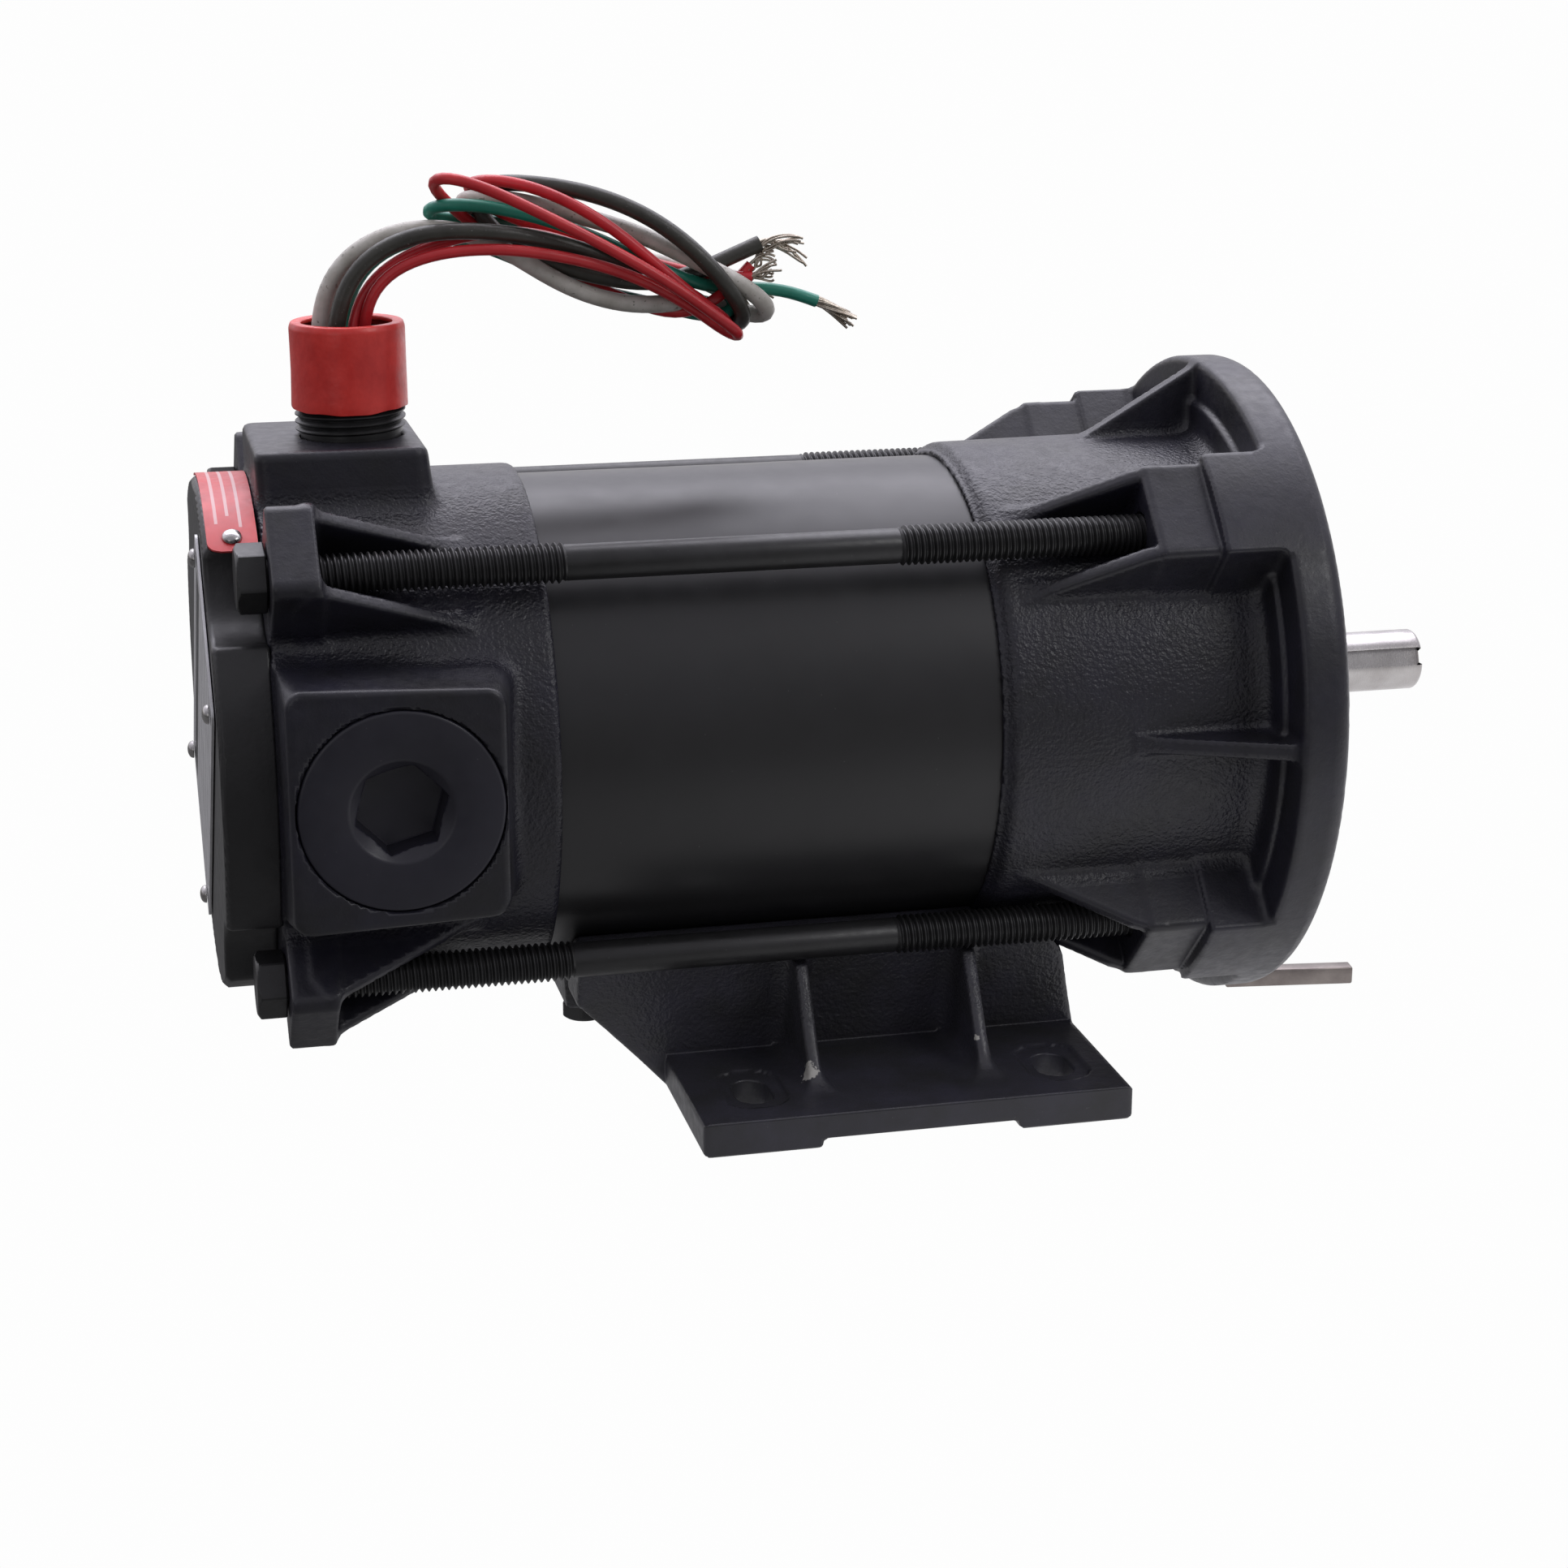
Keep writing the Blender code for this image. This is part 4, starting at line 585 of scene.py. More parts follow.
def foot(x, y, z):
    """The base: saddle, webs, feet with slots, fins, and an ear and wings under the rear bell."""
    r = np.hypot(y, z)
    out, side = corner_axes(y, z)
    wide = np.abs(y)
    top = FLOOR + 8.4
    section = polygon(wide, z, [(-5, -56), (37, -46.5), (43, -47.4), (44.6, -50.5), (38, -72),
                                (36, top), (82.6, top), (82.6, FLOOR), (27, FLOOR), (27, -78),
                                (20, -69), (-5, -69)])
    up = np.clip(z - top, 0.0, 60.0)
    ends = np.maximum(-159 - x, x + 52.4 + 0.24 * up)
    body = common(section, ends, 1.6)
    for place in (-127.3, -84.6):
        fin = polygon(wide, z, [(30, top - 2), (68, top - 2), (67, top), (60, -71.5), (48.5, -53),
                                (43, -48)])
        body = fuse(body, common(fin, np.abs(x - place) - 1.7, 1.4), 5.0)
    ear = polygon(x, z, [(-150, -84), (-157.5, -84), (-166, -75.5), (-174.5, -72.4), (-181, -71.6),
                         (-181.5, -66), (-181.5, -55), (-150, -55)])
    body = fuse(body, common(ear, wide - 22, 1.6), 4.0)
    web = polygon(wide, z, [(25, -95), (25, -50), (37, -46.5), (43, -47.4), (44.6, -50.5),
                            (38, -72), (36, top), (36, -95)])
    wing = polygon(x, z, [(-150, -88.6), (-158.8, -88.6), (-174.5, -71.5), (-181.5, -64),
                          (-181.5, -40), (-150, -40)])
    body = np.minimum(body, common(web, wing, 1.6))
    body = cut(body, r - 60.1, 0.6)
    body = cut(body, np.maximum(r - 64.2, -80.7 - x), 0.6)
    body = cut(body, common(between(x, -130, -81), z - FLOOR - 2.2, 1.5), 0.8)
    below = np.where(z < 0, 0.0, 50.0)
    rib = polygon(x, out, [(-72.5, 50), (-72.5, 62.4), (-44, 79.1), (-44, 50)])
    body = cut(body, common(rib, side - 13.5, 0.5) + below, 0.8)
    body = cut(body, np.hypot(out - BOLT_CIRCLE, side) - 5.5 + below, 0.8)
    for place in (-142.8, -66.6):
        slot = rectangle(x, wide, (place - 4.4, 54.4), (place + 4.4, 69.4), 4.4)
        seat = rectangle(x, wide, (place - 7.5, 50.15), (place + 7.5, 73.65), 6.0)
        body = cut(body, slot, 0.8)
        body = cut(body, common(seat, top - 0.8 - z, 0.5), 0.6)
    for screw_x, screw_y, _ in BASE_SCREWS.values():
        body = cut(body, np.hypot(x - screw_x, y - screw_y) - BASE_SCREW_HOLE, 0.4)
    screw_x, screw_y, seat = BASE_SCREWS["base_bolt_rear"]
    spotface = np.maximum(np.hypot(x - screw_x, y - screw_y) - BASE_SPOTFACE, z - seat)
    return cut(body, spotface, 0.4)


SLOPE_REACH = 0.12
LONGEST_MOVE = 0.6
LEAST_SLOPE = 0.05


def slope(field, points):
    """Which way the distance grows at each point, and how fast."""
    out = np.empty_like(points)
    for axis in range(3):
        step = np.zeros(3)
        step[axis] = SLOPE_REACH
        ahead, behind = points + step, points - step
        out[:, axis] = (field(*ahead.T) - field(*behind.T)) / (2 * SLOPE_REACH)
    return out


def settle_on(field, points, rounds=3):
    """Moves the points onto the zero of the field, never far in one round."""
    for _ in range(rounds):
        gradient = slope(field, points)
        size = np.maximum((gradient ** 2).sum(1), LEAST_SLOPE)
        move = -(field(*points.T) / size)[:, None] * gradient
        far = np.maximum(np.linalg.norm(move, axis=1) / LONGEST_MOVE, 1.0)
        points = points + move / far[:, None]
    return points


def surface_net(field, low, high, step):
    """Quads over the zero of the field: one point for each grid cell that the surface crosses."""
    axes = [np.arange(a, b + step, step) for a, b in zip(low, high)]
    grid = field(axes[0][:, None, None], axes[1][None, :, None], axes[2][None, None, :])
    shape = [len(a) for a in axes]
    grid = np.broadcast_to(grid, shape)
    inside = grid < 0
    total = np.zeros([n - 1 for n in shape], np.int8)
    for i in (0, 1):
        for j in (0, 1):
            for k in (0, 1):
                total += inside[i:shape[0] - 1 + i, j:shape[1] - 1 + j, k:shape[2] - 1 + k]
    mixed = (total > 0) & (total < 8)
    cells = np.argwhere(mixed)
    index = np.full(mixed.shape, -1, np.int64)
    index[mixed] = np.arange(len(cells))
    places = np.zeros((len(cells), 3))
    count = np.zeros(len(cells))
    for axis in range(3):
        u, v = (axis + 1) % 3, (axis + 2) % 3
        for a in (0, 1):
            for b in (0, 1):
                start = cells.copy()
                start[:, u] += a
                start[:, v] += b
                end = start.copy()
                end[:, axis] += 1
                first, last = grid[tuple(start.T)], grid[tuple(end.T)]
                crossed = (first < 0) != (last < 0)
                share = np.where(crossed, first / np.where(crossed, first - last, 1.0), 0.0)
                spot = start.astype(float)
                spot[:, axis] += share
                places += spot * crossed[:, None]
                count += crossed
    points = places / count[:, None] * step + np.array([a[0] for a in axes])
    quads = []
    for axis in range(3):
        u, v = (axis + 1) % 3, (axis + 2) % 3
        here = [slice(1, -1)] * 3
        here[axis] = slice(0, shape[axis] - 1)
        there = list(here)
        there[axis] = slice(1, shape[axis])
        changed = inside[tuple(here)] != inside[tuple(there)]
        edges = np.argwhere(changed)
        edges[:, u] += 1
        edges[:, v] += 1
        corners = []
        for a, b in ((1, 1), (0, 1), (0, 0), (1, 0)):
            cell = edges.copy()
            cell[:, u] -= a
            cell[:, v] -= b
            corners.append(index[tuple(cell.T)])
        quad = np.stack(corners, 1)
        leaving = inside[tuple(edges.T)]
        quad[~leaving] = quad[~leaving][:, ::-1]
        quads.append(quad)
    return points, np.concatenate(quads)


TRIANGLE_LIMIT = 185000


def thinned(mesh):
    """The mesh, decimated if it has more triangles than the limit."""
    if len(mesh.polygons) <= TRIANGLE_LIMIT:
        return mesh
    name = mesh.name
    holder = bpy.data.objects.new(name, mesh)
    scene.collection.objects.link(holder)
    thin = holder.modifiers.new("thin", "DECIMATE")
    thin.ratio = TRIANGLE_LIMIT / len(mesh.polygons)
    graph = bpy.context.evaluated_depsgraph_get()
    lighter = bpy.data.meshes.new_from_object(holder.evaluated_get(graph))
    bpy.data.objects.remove(holder)
    bpy.data.meshes.remove(mesh)
    lighter.name = name
    return lighter


def cast_piece(name, field, low, high, step, material):
    """A casting: the net is pulled onto the field, thinned to the limit and shaded by the field."""
    points, quads = surface_net(field, low, high, step)
    points = settle_on(field, points)
    mesh = bpy.data.meshes.new(name)
    mesh.vertices.add(len(points))
    mesh.vertices.foreach_set("co", (points * MM).ravel())
    split = np.concatenate([quads[:, [0, 1, 2]], quads[:, [0, 2, 3]]])
    mesh.loops.add(split.size)
    mesh.loops.foreach_set("vertex_index", split.ravel().astype(np.int32))
    mesh.polygons.add(len(split))
    mesh.polygons.foreach_set("loop_start", np.arange(0, split.size, 3, dtype=np.int32))
    mesh.update()
    mesh.validate()
    mesh = thinned(mesh)
    flat = np.empty(len(mesh.vertices) * 3)
    mesh.vertices.foreach_get("co", flat)
    points = settle_on(field, flat.reshape(-1, 3) / MM, 1)
    mesh.vertices.foreach_set("co", (points * MM).ravel())
    normals = slope(field, points)
    normals /= np.maximum(np.linalg.norm(normals, axis=1), 1e-6)[:, None]
    mesh.polygons.foreach_set("use_smooth", [True] * len(mesh.polygons))
    mesh.update()
    mesh.normals_split_custom_set_from_vertices(normals.tolist())
    mesh.materials.clear()
    mesh.materials.append(material)
    return stand(name, mesh)


# ---------------------------------------------------------------- leads

# Each lead's radius and the points of its route, as in the CAD.
LEADS = {
    "lead_white": (2.15, [
        (-233.4, 1.6, 88.4), (-234.0, 1, 97), (-233.3, 0.5, 106.5), (-230.0, 0.5, 112),
        (-225.3, 0.5, 116.4), (-220, 0.5, 119.2), (-212, 1, 121), (-203, 3, 121.4), (-195, 5, 119.5),
        (-188.5, 5, 116), (-181.5, 3.5, 110), (-173, 2, 105), (-164.5, 1.5, 101.5), (-155.5, 1.5, 100),
        (-146, 4, 100), (-135.5, 8, 98.5), (-127, 10, 96), (-122, 8.5, 95), (-120.5, 4.5, 96.5),
        (-123.5, 1, 99.5), (-129, -0.5, 105), (-136.5, 0.5, 108.5), (-143, 2, 111), (-149, 3, 115),
        (-157, 3, 119), (-169, 2.5, 122), (-178.5, 2, 125), (-188.5, 1.5, 127.5), (-196, 2, 128),
        (-200.5, 3.5, 128), (-201, 6.5, 127), (-199, 9, 125.5), (-192, 10.5, 122.5),
        (-179.5, 10.5, 117.5), (-163.5, 10, 113), (-147.5, 9, 109), (-136, 6, 107),
        (-131, 3.5, 105.5)]),
    "lead_black": (2.0, [
        (-230.3, -3.6, 88.4), (-230.5, -4, 97), (-230, -4, 105.5), (-226.3, -4.5, 112.2),
        (-220.5, -5, 117), (-213, -5, 120), (-204, -4, 121), (-193.5, -3.5, 120.4), (-183.5, -3, 118.8),
        (-173.5, -2.5, 116), (-163.5, -1, 112.5), (-153, 2, 107.5), (-143.5, 6, 102),
        (-133.5, 8, 95.5), (-128.5, 6.5, 93), (-127, 2.5, 93.5), (-129, -2, 97), (-133, -4, 103),
        (-138.5, -4, 110), (-144, -3, 115.5), (-151.5, -2, 121.5), (-160.5, -1.5, 126),
        (-169.5, -1.5, 129), (-179, -1.5, 130.5), (-189, -1, 131), (-195.5, 0.5, 130.5),
        (-198, 4, 128.5), (-196.5, 7.5, 124.5), (-190.5, 8, 118), (-182.5, 5, 112.5),
        (-173, 1.5, 109.5), (-163.5, 0, 107), (-153.5, 1.5, 105.5), (-144.5, 4, 105.5),
        (-138.5, 5, 109), (-132.5, 4, 112), (-125.5, 3, 114.5)]),
    "lead_red_1": (1.4, [
        (-225.9, -3, 88.4), (-226.8, -1.5, 97), (-226.3, -1.5, 103), (-224, -1.5, 107),
        (-220.5, -1.5, 111), (-214.5, -1, 114.5), (-206.5, 0.5, 117), (-199.5, 3, 119), (-192, 5, 120),
        (-184, 5.5, 120), (-174.5, 5.5, 117), (-164.5, 5.5, 113), (-152.5, 6, 106.5), (-142, 6.5, 100),
        (-134.5, 5.5, 94.5), (-131, 2.5, 92.5), (-131.5, -1.5, 93.5), (-135.5, -4.5, 97),
        (-142.5, -5, 102), (-150.5, -5, 109), (-158.5, -5, 116.5), (-166, -5.5, 122.5),
        (-174, -5.5, 127), (-181.5, -5.5, 130.5), (-189.5, -5, 132.5), (-195.5, -3.5, 132.5),
        (-198.5, 0, 130.5), (-198.5, 4.5, 128.5), (-195, 8, 125.5), (-185.5, 8.5, 121.5),
        (-172, 8, 117), (-156, 7.5, 111.5), (-142, 6, 107), (-134, 2.5, 106), (-128, 0.5, 106.5)]),
    "lead_red_2": (1.4, [
        (-222.8, 0.9, 88.4), (-223.9, -3.6, 97), (-224.2, -5, 103.5), (-222, -5.5, 108.5),
        (-218.5, -6, 112), (-213, -6.5, 114), (-205.5, -7, 116), (-196, -7, 116.5),
        (-186, -7, 116), (-174.5, -6, 113.5),
        (-162.5, -5, 110.5), (-152, -2, 105.5), (-143, 2, 100), (-135.5, 4.5, 95), (-131.5, 2.5, 92),
        (-129.6, -1.5, 91.6), (-133, -6, 94.3), (-139, -7.5, 99), (-149, -8, 106.5),
        (-159, -8, 112.5), (-167, -8.5, 117), (-174.5, -8.5, 121), (-182.5, -8.5, 125),
        (-190, -8.5, 129), (-197.5, -8.5, 132.2), (-203.6, -7.5, 134), (-207.4, -5, 133.6),
        (-208.6, -1.5, 132.2), (-205, 2.5, 130), (-201, 6.5, 126), (-193.5, 8, 119.5), (-185, 7.5, 113),
        (-176.5, 5.5, 109), (-168, 4, 106), (-160, 4.5, 102.5), (-153, 4, 98.5), (-146, 3.5, 97),
        (-139.5, 3, 98.5), (-133, 2.5, 103.5), (-127.5, 1.5, 109.5)]),
    "lead_green": (1.55, [
        (-227.8, 4.9, 88.4), (-228.0, 5.2, 97), (-227.2, 5, 105), (-224, 5, 111), (-218.5, 5.5, 115.3),
        (-210, 6, 118.3), (-201.5, 7, 118.8), (-194, 7.5, 116), (-184, 7.5, 111.5),
        (-174.5, 7, 106.5), (-165, 6.5, 103.3), (-153, 6, 100.6), (-142.5, 4.5, 98.5),
        (-133, 5.5, 97.5), (-127.5, 8.5, 97), (-128.5, 11, 99), (-137, 11.5, 104), (-151, 11.5, 110.5),
        (-167.5, 11.5, 116), (-181.5, 11, 119), (-190.5, 9.5, 120.5), (-198.5, 7, 121.5),
        (-207, 3.5, 122.5), (-211.0, 1, 124.3), (-208.8, -1.5, 126), (-202.5, -2.5, 127),
        (-193, -2.5, 126), (-183.5, -2.5, 124), (-173.5, -2.5, 120.5), (-164, -2.5, 116.5),
        (-154, -2, 111), (-144.5, -0.5, 106.5), (-137, 2, 103), (-130, 4, 103), (-123, 5, 104.5),
        (-117, 4, 104), (-111, 4, 100)]),
}


def relaxed(line, rounds):
    """The line with each inner point drawn halfway to the middle of its neighbours."""
    for _ in range(rounds):
        line[1:-1] += 0.5 * ((line[:-2] + line[2:]) / 2 - line[1:-1])
    return line


def smooth_route(points, spacing):
    """Evenly spaced points on a smooth curve through the route."""
    given = np.array(points, float)
    padded = np.vstack([2 * given[0] - given[1], given, 2 * given[-1] - given[-2]])
    route = []
    for a, b, c, d in zip(padded, padded[1:], padded[2:], padded[3:]):
        for i in range(8):
            t = i / 8
            route.append(0.5 * (2 * b + (c - a) * t + (2 * a - 5 * b + 4 * c - d) * t * t
                                + (3 * b - a - 3 * c + d) * t ** 3))
    route.append(given[-1])
    route = relaxed(np.array(route), 4)
    walked = np.concatenate([[0], np.cumsum(np.linalg.norm(np.diff(route, axis=0), axis=1))])
    count = int(round(walked[-1] / spacing)) + 1
    even = np.linspace(0, walked[-1], count)
    return np.stack([np.interp(even, walked, route[:, k]) for k in range(3)], 1)


CLEARANCE = 0.12
HELD_POINTS = 3
SAME_STRETCH = 7
PUSH = np.array([0.2, 1.0, 0.2])
PULL_BACK = np.array([0.16, 0.002, 0.16])
STRAIGHTEN = 0.16
FREE_ROUNDS = 30


def settle_leads(routes, rounds=260):
    """Pushes the leads apart where they would lie in each other, mostly sideways to the view,
    and keeps their bends smooth and their lengths."""
    names = list(routes)
    start = np.concatenate([routes[n][1] for n in names])
    radii = np.concatenate([np.full(len(routes[n][1]), routes[n][0]) for n in names])
    owner = np.concatenate([np.full(len(routes[n][1]), i) for i, n in enumerate(names)])
    place = np.concatenate([np.arange(len(routes[n][1])) for n in names])
    apart = (owner[:, None] != owner[None, :]) | (np.abs(place[:, None] - place[None, :]) > SAME_STRETCH)
    wanted = radii[:, None] + radii[None, :] + CLEARANCE
    held = place < HELD_POINTS
    ends = np.flatnonzero(np.diff(owner)) + 1
    runs = np.split(np.arange(len(owner)), ends)
    rests = [np.linalg.norm(np.diff(start[run], axis=0), axis=1).mean() for run in runs]
    now = start.copy()
    for turn in range(rounds):
        gap = now[:, None, :] - now[None, :, :]
        far = np.sqrt((gap ** 2).sum(2)) + 1e-9
        deep = np.where(apart & (far < wanted), wanted - far, 0.0)
        push = (gap / far[:, :, None] * deep[:, :, None] * 0.5 * PUSH).sum(1)
        push /= np.maximum((deep > 0).sum(1), 1)[:, None] ** 0.5
        now += np.where(held[:, None], 0.0, push)
        if turn < rounds - FREE_ROUNDS:
            now += (start - now) * PULL_BACK
        for run, rest in zip(runs, rests):
            line = now[run]
            for _ in range(2):
                inner = (line[:-2] + line[2:]) / 2 - line[1:-1]
                inner[:HELD_POINTS - 1] = 0.0
                line[1:-1] += STRAIGHTEN * inner
            step = np.diff(line, axis=0)
            size = np.linalg.norm(step, axis=1)[:, None]
            fix = step * (size - rest) / size * 0.4
            line[:-1] += fix
            line[1:] -= fix
            line[:HELD_POINTS] = start[run][:HELD_POINTS]
            now[run] = line
    return {name: relaxed(now[run], 5) for name, run in zip(names, runs)}


def curve_piece(name, lines, radius, material, fine=6):
    """Round wires of one radius along the lines."""
    curve = bpy.data.curves.new(name, "CURVE")
    curve.dimensions = "3D"
    curve.bevel_depth = radius * MM
    curve.bevel_resolution = fine
    curve.use_fill_caps = True
    for line in lines:
        spline = curve.splines.new("POLY")
        spline.points.add(len(line) - 1)
        for point, spot in zip(spline.points, line):
            point.co = (*(np.array(spot) * MM), 1.0)
        spline.use_smooth = True
    curve.materials.append(material)
    return stand(name, curve)


def strand_lines(line, radius, count, length, splay, curl, droop, seed):
    """The bare strands at a lead's end: a twisted bundle that opens and curls towards its tip."""
    rng = np.random.default_rng(seed)
    along = line[-1] - line[-3]
    along /= np.linalg.norm(along)
    across = np.cross(along, (0.0, 0.3, 1.0))
    across /= np.linalg.norm(across)
    up = np.cross(across, along)
    lines = []
    for i in range(count):
        angle = 2 * math.pi * i / count + rng.uniform(-0.4, 0.4)
        ring = radius * rng.uniform(0.25, 0.78)
        reach = length * rng.uniform(0.8, 1.05)
        bend = rng.uniform(-1.0, 1.0, 2) * splay
        twist = rng.uniform(1.2, 2.0)
        points = []
        for k in range(15):
            t = k / 14
            turn = angle + twist * t
            open_by = ring * (1 + 0.5 * t * t)
            round_by = curl * t * (1.0 - 0.3 * t)
            phase = (4.0 + 0.9 * math.cos(3 * angle)) * t + 2.0 * angle
            spot = (line[-1] + along * (reach * t - 1.5 + round_by * math.sin(phase))
                    + up * round_by * math.cos(phase)
                    + across * (open_by * math.cos(turn) + bend[0] * t * t)
                    + up * (open_by * math.sin(turn) + bend[1] * t * t)
                    + np.array(droop) * t * t)
            points.append(spot)
        lines.append(points)
    return lines


ROUTE_SPACING = 2.4
STRAND_RADIUS = 0.31
settled = settle_leads({name: (radius, smooth_route(points, ROUTE_SPACING))
                        for name, (radius, points) in LEADS.items()})
# For each bare end: how many strands, their length, splay, curl, droop and random seed.
STRANDS = {
    "lead_white": (13, 8.0, 1.6, 1.6, (2.0, 0.0, -5.0), 11),
    "lead_black": (15, 8.5, 2.0, 2.3, (3.5, 0.0, -4.0), 12),
    "lead_red_1": (9, 6.5, 1.6, 2.0, (1.0, 0.0, 2.0), 13),
    "lead_red_2": (9, 6.5, 1.6, 2.0, (1.0, 0.0, -1.0), 14),
    "lead_green": (22, 11.5, 0.5, 0.3, (0.0, 0.0, -1.6), 15),
}
for name, (radius, _) in LEADS.items():
    line = settled[name]
    cover_piece = curve_piece(name + "_cover", [line], radius, LEAD_FINISH[name])
    bare = curve_piece(name + "_strands", strand_lines(line, radius, *STRANDS[name]),
                       STRAND_RADIUS, STRAND, 2)
    nodes = (name, "lead_hank") if name == "lead_white" else (name,)
    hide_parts(*nodes)
    start = ORIGIN + Vector(line[0]) * MM


# ---------------------------------------------------------------- castings

def add(obj, slot, *nodes):
    """Lets the piece stand for its CAD nodes, which it hides. The slot is not used."""
    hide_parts(*nodes)
    return obj


add(cast_piece("front_bell_casting", front_bell, (-84, -86, -86), (7, 86, 86), 1.05, CAST),
    "cast_black", "front_end_bell")
add(cast_piece("rear_bell_casting", rear_bell, (-256, -82, -86), (-184, 82, 86), 1.05, CAST),
    "cast_black", "rear_end_bell")
add(cast_piece("rear_cover_casting", cover, (-269, -67, -67), (-249, 67, 76), 0.9, COVER),
    "cast_black", "rear_cover")
add(cast_piece("foot_base_casting", foot, (-186, -86, FLOOR - 3), (-48, 86, -40), 1.05, FOOT_CAST_WITH_PAINTED_LIGHT),
    "cast_black", "foot_base")

# ---------------------------------------------------------------- shell, bolts, plugs

SHELL_LOW, SHELL_HIGH = ((corner.x - ORIGIN.x) / MM for corner in SHELL_BOX)
SHELL_WALL = 4.8


def shell_waviness(x, r, angles):
    return r + 0.03 * np.sin(3 * angles + x * 0.05) + 0.02 * np.sin(7 * angles - x * 0.09)


inner = SHELL_RADIUS - SHELL_WALL
outline = [(SHELL_LOW, inner + 0.6), (SHELL_LOW, SHELL_RADIUS - 0.7),
           (SHELL_LOW + 0.7, SHELL_RADIUS)]
outline += [(x, SHELL_RADIUS) for x in np.linspace(SHELL_LOW + 4, SHELL_HIGH - 4, 24)]
outline += [(SHELL_HIGH - 0.7, SHELL_RADIUS), (SHELL_HIGH, SHELL_RADIUS - 0.7),
            (SHELL_HIGH, inner + 0.6), (SHELL_HIGH - 0.6, inner), (SHELL_LOW + 0.6, inner)]
add(lay_mesh("shell_tube", *turned(outline, 192, shell_waviness), SATIN), "smooth_black",
    "frame_shell")

BOLT_THREAD = (4.76, 3.95, 1.5875)
BOLT_HEAD_HALF = 7.14
BASE_SCREW_HEAD_HALF = 5.2
BASE_SCREW_RADIUS = 2.45
HEAD_TURNS = {45: 0.70, 135: 0.62, 225: 0.1, 315: 0.25}


def through_bolt(head_turn):
    """A long hexagon bolt along x, threaded at both ends with a plain shank between."""
    return joined(
        hex_head(-252.3, -259.2, BOLT_HEAD_HALF, head_turn),
        turned([(-252.5, 0), (-252.5, 4.1), (-251.6, 4.1), (-251.6, 0)], 36),
        threaded(BELL_BACK, -183.3, *BOLT_THREAD),
        turned([(-184.2, 0), (-184.2, 4.0), (-183.6, 4.22), (-104.2, 4.22), (-103.6, 4.0),
                (-103.6, 0)], 36),
        threaded(-104.5, -29.0, *BOLT_THREAD),
    )


def base_screw(seat):
    """A hexagon screw along x, whose head hangs under its seat."""
    shank = [(seat - 0.3, 0), (seat - 0.3, BASE_SCREW_RADIUS), (-60.6, BASE_SCREW_RADIUS), (-60.6, 0)]
    return joined(hex_head(seat, seat - 4.4, BASE_SCREW_HEAD_HALF, 0.2, 48), turned(shank, 32))


for number, (angle, head_turn) in enumerate(HEAD_TURNS.items(), 1):
    turn = math.radians(angle)
    middle = (0.0, -BOLT_CIRCLE * math.sin(turn), BOLT_CIRCLE * math.cos(turn))
    screw = placed(through_bolt(head_turn), None, middle)
    add(lay_mesh(f"through_bolt_{number}_screw", *screw, BOLT, sharp=28), "bolt_black",
        f"through_bolt_{number}")

for name, (x, y, seat) in BASE_SCREWS.items():
    screw = upright(base_screw(seat), x, y)
    add(lay_mesh(name + "_screw", *screw, BOLT, sharp=28), "bolt_black", name)

PLUG_RADIUS = 23.5
PLUG_NECK = 16.5
PLUG_SOCKET = 9.5
SOCKET_MOUTH = 12.2


def plug_part():
    """A brush plug along +x from the motor's axis, with a hexagon socket in its face."""
    angles = circle_angles(120)
    hexagon = hex_radius(PLUG_SOCKET, angles, math.radians(-15))
    rings = [(61.0, 0.0), (61.0, PLUG_NECK - 0.6), (61.6, PLUG_NECK), (69.5, PLUG_NECK),
             (69.5, PLUG_RADIUS - 0.4), (69.9, PLUG_RADIUS), (PAD_FACE - 0.75, PLUG_RADIUS),
             (PAD_FACE - 0.3, PLUG_RADIUS - 0.18), (PAD_FACE - 0.08, PLUG_RADIUS - 0.45),
             (PAD_FACE, PLUG_RADIUS - 0.9), (PAD_FACE, SOCKET_MOUTH + 0.4),
             (PAD_FACE - 0.1, SOCKET_MOUTH + 0.05)]
    for deep in np.linspace(0.25, 2.6, 10):
        rings.append((PAD_FACE - deep, np.maximum(SOCKET_MOUTH - 1.15 * deep, hexagon)))
    rings += [(PAD_FACE - 9.6, hexagon), (PAD_FACE - 9.9, hexagon * 0.97), (PAD_FACE - 10.3, 7.0),
              (PAD_FACE - 10.9, 0.0)]
    rows = [ring_row(x, radii, angles) for x, radii in rings]
    return np.concatenate(rows), grid_faces(len(rows), len(angles))


for side, where in ((-1, "near"), (1, "far")):
    part = sideways(plug_part(), side, BRUSH_X)
    add(lay_mesh(f"brush_plug_{where}_cap", *part, PLUG, f"plug_{where}_body", 30),
        "smooth_black", f"brush_plug_{where}")


# ---------------------------------------------------------------- outlet

NIPPLE_TOP = 97.0
NIPPLE_BORE = 10.4
NIPPLE_ROOT = 12.3
nipple = joined(
    threaded(73.0, NIPPLE_TOP, 13.2, NIPPLE_ROOT, 1.814, 64, 0.5),
    turned([(56, NIPPLE_BORE), (56, 12.0), (75.4, 12.0), (75.4, NIPPLE_BORE)], 64),
    turned(soft_corners([(74.8, NIPPLE_BORE), (74.8, NIPPLE_ROOT), (96.7, NIPPLE_ROOT),
                         (96.9, 12.0), (NIPPLE_TOP, NIPPLE_BORE), (96.0, 10.3)], 0.3), 64),
)
add(lay_mesh("conduit_nipple_thread", *upright(nipple, CONDUIT_X), BOLT, sharp=28), "smooth_black",
    "conduit_nipple")


def cap_waviness(x, r, angles):
    return r + 0.10 * np.sin(2 * angles + 0.6) + 0.05 * np.sin(5 * angles + 0.2 * x)


